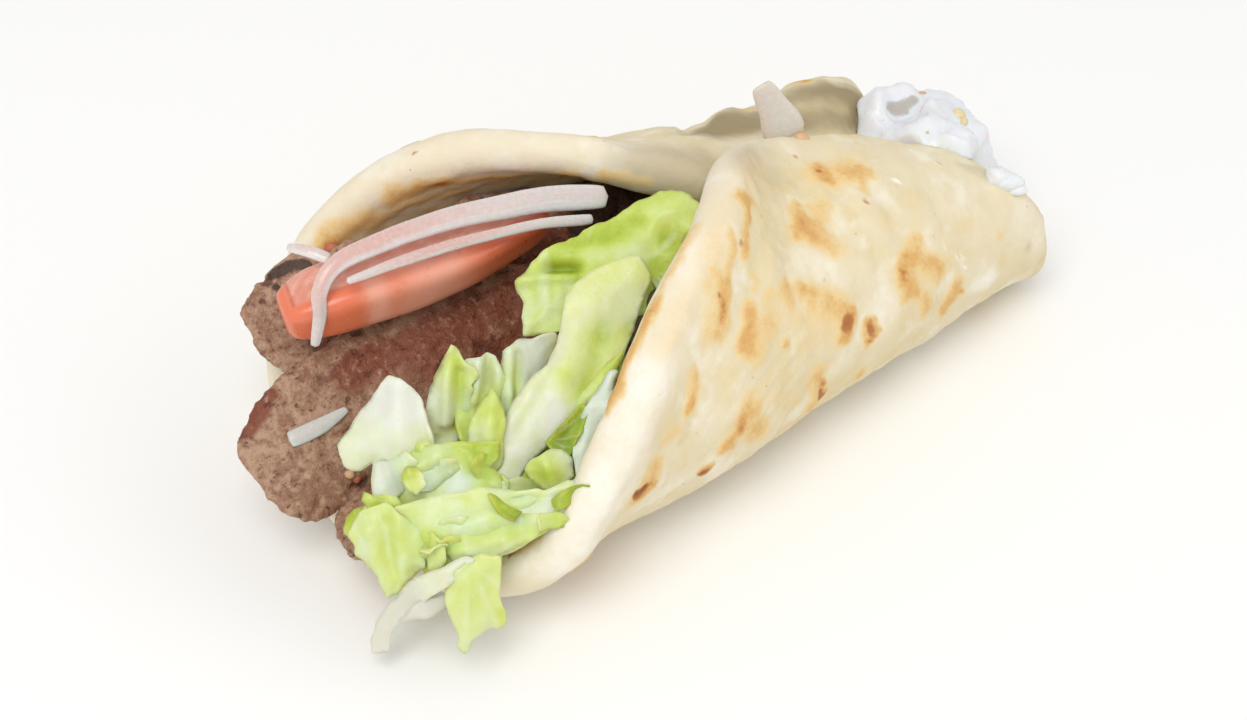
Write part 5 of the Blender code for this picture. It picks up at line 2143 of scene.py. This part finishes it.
SHADED_SCRAP = Leaf(
    pixels(400, 622, 412, 606, 426, 596, 448, 592, 450, 606, 436, 614, 420, 619),
    (448, 594), -2.0, (-0.3, -0.6, 0.7), 0.05, 0.05, bulge=0.6, crinkle=0.3,
    shade_greys=traces((9, 1, 405, 615, 440, 604)))


@dataclass
class LettuceHeap:
    """The heap of torn lettuce: a crinkled core and the leaves that show.

    Each kind of scrap has half its length and width in mm, its curl and its tone.
    """

    core: Sweep = Sweep(((-84, -13, 21), (-64, -17, 23), (-43, -15, 26), (-22, -12, 31), (-2, -13, 30),
                         (18, -17, 25), (38, -18, 23)), (16, 25, 26, 24, 30, 28, 18),
                        (7, 11, 17, 22, 28, 24, 18), (0, -0.4, 0.9), blunt=3.0, square=2.4, ragged=1.5, seed=7)
    leaves: tuple[Leaf, ...] = (TOP_LEAF, BROAD_RIB, RIB_FOLD, DEEP_HOLLOW, FOLDED_PIECE, PEAK_LEFT, PEAK_MIDDLE,
        PEAK_RIGHT, PALE_OVAL, HEAP_LEFT, UNDER_OVAL, BRIGHT_SCRAP, OLIVE_SCRAP, MIDDLE_POINT, PALE_BAND, LOWER_MASS,
        PALE_EDGE, LEFT_TUFT, HEAP_RIGHT, LOWER_LEFT, GREEN_FOLD, DARK_FRINGE, HANGING_TAB, HANGING_SHRED,
        SHADED_SCRAP)
    littered: tuple[Leaf, ...] = (HEAP_LEFT, HEAP_RIGHT)
    scrap_kinds: tuple[Numbers, ...] = ((4.2, 2.6, 1.5, 0.45), (5.2, 1.7, 1.1, 0.3), (3.0, 2.4, 1.3, 0.62),
                                        (4.6, 2.0, 1.9, 0.18), (3.6, 1.4, 0.8, 0.78))
    rings: int = 140
    segments: int = 90
    finish: LettuceFinish = LettuceFinish()
    # Painted shadow: the dark gap by the near rim and a small one among the peaks.
    gaps: Marks = traces((3.4, 1, 652, 290, 644, 312, 634, 340), (1.6, 0.8, 452, 428, 458, 432))

    def scraps(self) -> list[Piece]:
        """Little curled pieces of leaf, a few dozen faces each.

        Returns:
            Pieces that aren't dressed yet.
        """
        made = []
        line, across = np.linspace(-1, 1, 7), np.linspace(-1, 1, 4)
        u, v = [grid.ravel() for grid in np.meshgrid(line, across, indexing="ij")]
        for index, (length, width, curl, tone) in enumerate(self.scrap_kinds):
            seen = np.stack([u * length, v * width, np.full(len(u), index * 9.0)], 1)
            narrow = superellipse(u * 0.92, 2.6) * (1.0 + 0.35 * soft_grain(seen, 2.0, 61))
            bend = curl * (u ** 2 - 0.3) + 0.7 * v * u + 0.6 * soft_grain(seen, 2.4, 62) + 0.5 * v ** 2
            points = np.stack([u * length + 0.3 * soft_grain(seen, 1.5, 63), v * width * narrow, bend + 0.5], 1)
            shades = {"tone": tone + 0.12 * u, "vein": ease(0.3, 0.0, np.abs(v)) * 0.6, "grey": np.zeros(len(u))}
            piece = make_piece(f"scrap_{index}", points, sheet_faces(7, 4).tolist(), shades)
            made.append(thicken(piece, 0.35))
        return made

    def build(self) -> None:
        """Makes and dresses the core and every leaf, which is cast on the heap's solid."""
        material = self.finish.material()
        heap = Target(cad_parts["lettuce"])
        points, faces, _ = self.core.shape(self.rings, self.segments)
        piece = make_piece("lettuce_core", points, faces)
        crease = 1.0 - np.abs(soft_grain(points, 7.0, 3))
        lift = 1.6 * (crease - 0.7) + 0.5 * soft_grain(points, 2.5, 4)
        tone = np.clip(0.85 + 0.4 * (0.7 - crease), 0.0, 1.0)
        marks = {"tone": tone, "vein": ease(0.9, 1.0, crease) * 0.5, "grey": np.zeros(len(points)),
                 "strewn": ease(-0.6, 0.0, normals_of(piece)[:, 2])}
        # Painted shadow in the gaps.
        marks["dark"] = heap.spots(points, self.gaps, 0.6, 1.6)
        reshape(piece, points + normals_of(piece) * lift[:, None], marks)
        dress(piece, material, "lettuce_green", "lettuce")
        strewn = Scatter("leaf_scatter").strew(piece, self.scraps(), "lettuce_scraps", material, Density=26000.0,
                                               Seed=4, Smallest=0.5, Largest=1.15, Tilt=0.45)
        dress(strewn, None, "lettuce_green")
        for index, leaf in enumerate(self.leaves):
            piece = leaf.build(heap, index)
            dress(piece, material, "lettuce_green")
            if leaf in self.littered:
                write_marks(piece.data, {"strewn": ease(0.3, 0.7, normals_of(piece) @ BACK)})
                name = f"lettuce_litter_{index:02d}"
                strewn = Scatter("litter").strew(piece, self.scraps(), name, material, Density=8000.0,
                                                 Seed=index + 3, Smallest=0.7, Largest=1.15, Tilt=0.25)
                dress(strewn, None, "lettuce_green")


# ---- bits
class Morsel(Enum):
    """What a small bit is, as its place on the finish's ramp."""

    GREEN = 0.0
    YELLOW = 0.2
    ORANGE = 0.4
    RED = 0.6
    BROWN = 0.8
    WHITE = 1.0


@dataclass(frozen=True)
class BitFinish:
    """Moist crumbs of filling in six colours."""

    colours: tuple[Colour, ...] = (paint(186, 202, 120), paint(228, 210, 164), paint(216, 172, 132),
                                   paint(186, 100, 70), paint(150, 104, 74), paint(232, 234, 237))

    def material(self) -> Material:
        """Builds the finish; the mark "kind" says which colour.

        Returns:
            The material.
        """
        p = Paint("small_bits")
        kind = p.mark("kind") + p.cloud(1.2, 2.0, seed=2).sway(0.12)
        base = p.ramp(kind, [(0.2 * i, colour) for i, colour in enumerate(self.colours)])
        rough = 0.45 + p.cloud(0.6, 1.0, seed=3).sway(0.2)
        return p.lay(base, rough, p.bump(p.cloud(0.6, 2.0, seed=4), 0.06, 0.5), Subsurface_Weight=0.15,
                     Subsurface_Scale=0.002)


@dataclass(frozen=True)
class Bit:
    """One bit that lies on a piece where the photograph shows it: its half sizes right, up and out, in mm."""

    host: str
    pixel: Pixel
    kind: Morsel
    size: Point = (1.4, 1.0, 0.8)

    def build(self, material: Material, index: int) -> None:
        """Makes the bit as a small lumpy ball, sunk a little into its host.

        Args:
            material: the bits' finish.
            index: its number, for its name and lumps.
        """
        spot = Target(bpy.data.objects[self.host]).cast(self.pixel)
        if spot is None:
            LOG.warning("bit %d misses %s", index, self.host)
            return
        bm = bmesh.new()
        bmesh.ops.create_icosphere(bm, subdivisions=3, radius=1.0)
        ball = np.array([tuple(v.co) for v in bm.verts])
        faces = [tuple(v.index for v in face.verts) for face in bm.faces]
        bm.free()
        seen = ball + index * 7.0
        lumps = 1.0 + 0.2 * soft_grain(seen, 1.1, 71) + 0.06 * soft_grain(seen, 0.5, 72)
        points = spot + (ball * lumps[:, None] * self.size) @ np.stack((RIGHT, UP, BACK))
        piece = make_piece(f"bit_{index:02d}", points, faces, {"kind": np.full(len(points), self.kind.value)})
        dress(piece, material, "")


# The number of a bit is in the name of its piece.
BITS: dict[int, Bit] = {
    0: Bit("pita_bread", (802, 138), Morsel.ORANGE, (1.4, 1.2, 0.7)),
    1: Bit("pita_bread", (800, 130), Morsel.YELLOW, (0.8, 0.7, 0.5)),
    2: Bit("pita_bread", (331, 248), Morsel.RED, (1.5, 1.2, 0.8)),
    5: Bit("meat_slice_front_roast", (350, 474), Morsel.ORANGE, (1.0, 0.8, 0.6)),
    6: Bit("meat_slice_front_roast", (357, 479), Morsel.RED, (0.9, 0.7, 0.5)),
    8: Bit("yoghurt_sauce", (922, 95), Morsel.ORANGE, (1.3, 0.8, 1.2)),
    9: Bit("yoghurt_sauce", (916, 97), Morsel.RED, (0.6, 0.5, 0.9)),
    10: Bit("yoghurt_sauce", (958, 116), Morsel.YELLOW, (1.7, 1.7, 1.1)),
    11: Bit("yoghurt_sauce", (964, 123), Morsel.YELLOW, (0.9, 1.2, 1.0)),
    12: Bit("pita_bread", (1007, 181), Morsel.WHITE, (3.4, 2.0, 2.4)),
    13: Bit("pita_bread", (1015, 190), Morsel.WHITE, (2.4, 1.3, 1.8)),
    14: Bit("pita_bread", (998, 177), Morsel.WHITE, (3.0, 2.4, 2.6)),
    15: Bit("yoghurt_sauce", (928, 135), Morsel.GREEN, (1.0, 0.9, 0.5)),
}


# ---- all
def main() -> None:
    """Builds the wrap and its studio."""
    logging.basicConfig(level=logging.INFO, format="%(message)s")
    VIEW.stand()
    for part in (Studio(), Pita(), Meat(), TomatoWedge(), Onion(), Sauce(), LettuceHeap()):
        part.build()
    material = BitFinish().material()
    for index, bit in BITS.items():
        bit.build(material, index)


if __name__ == "__main__":
    main()
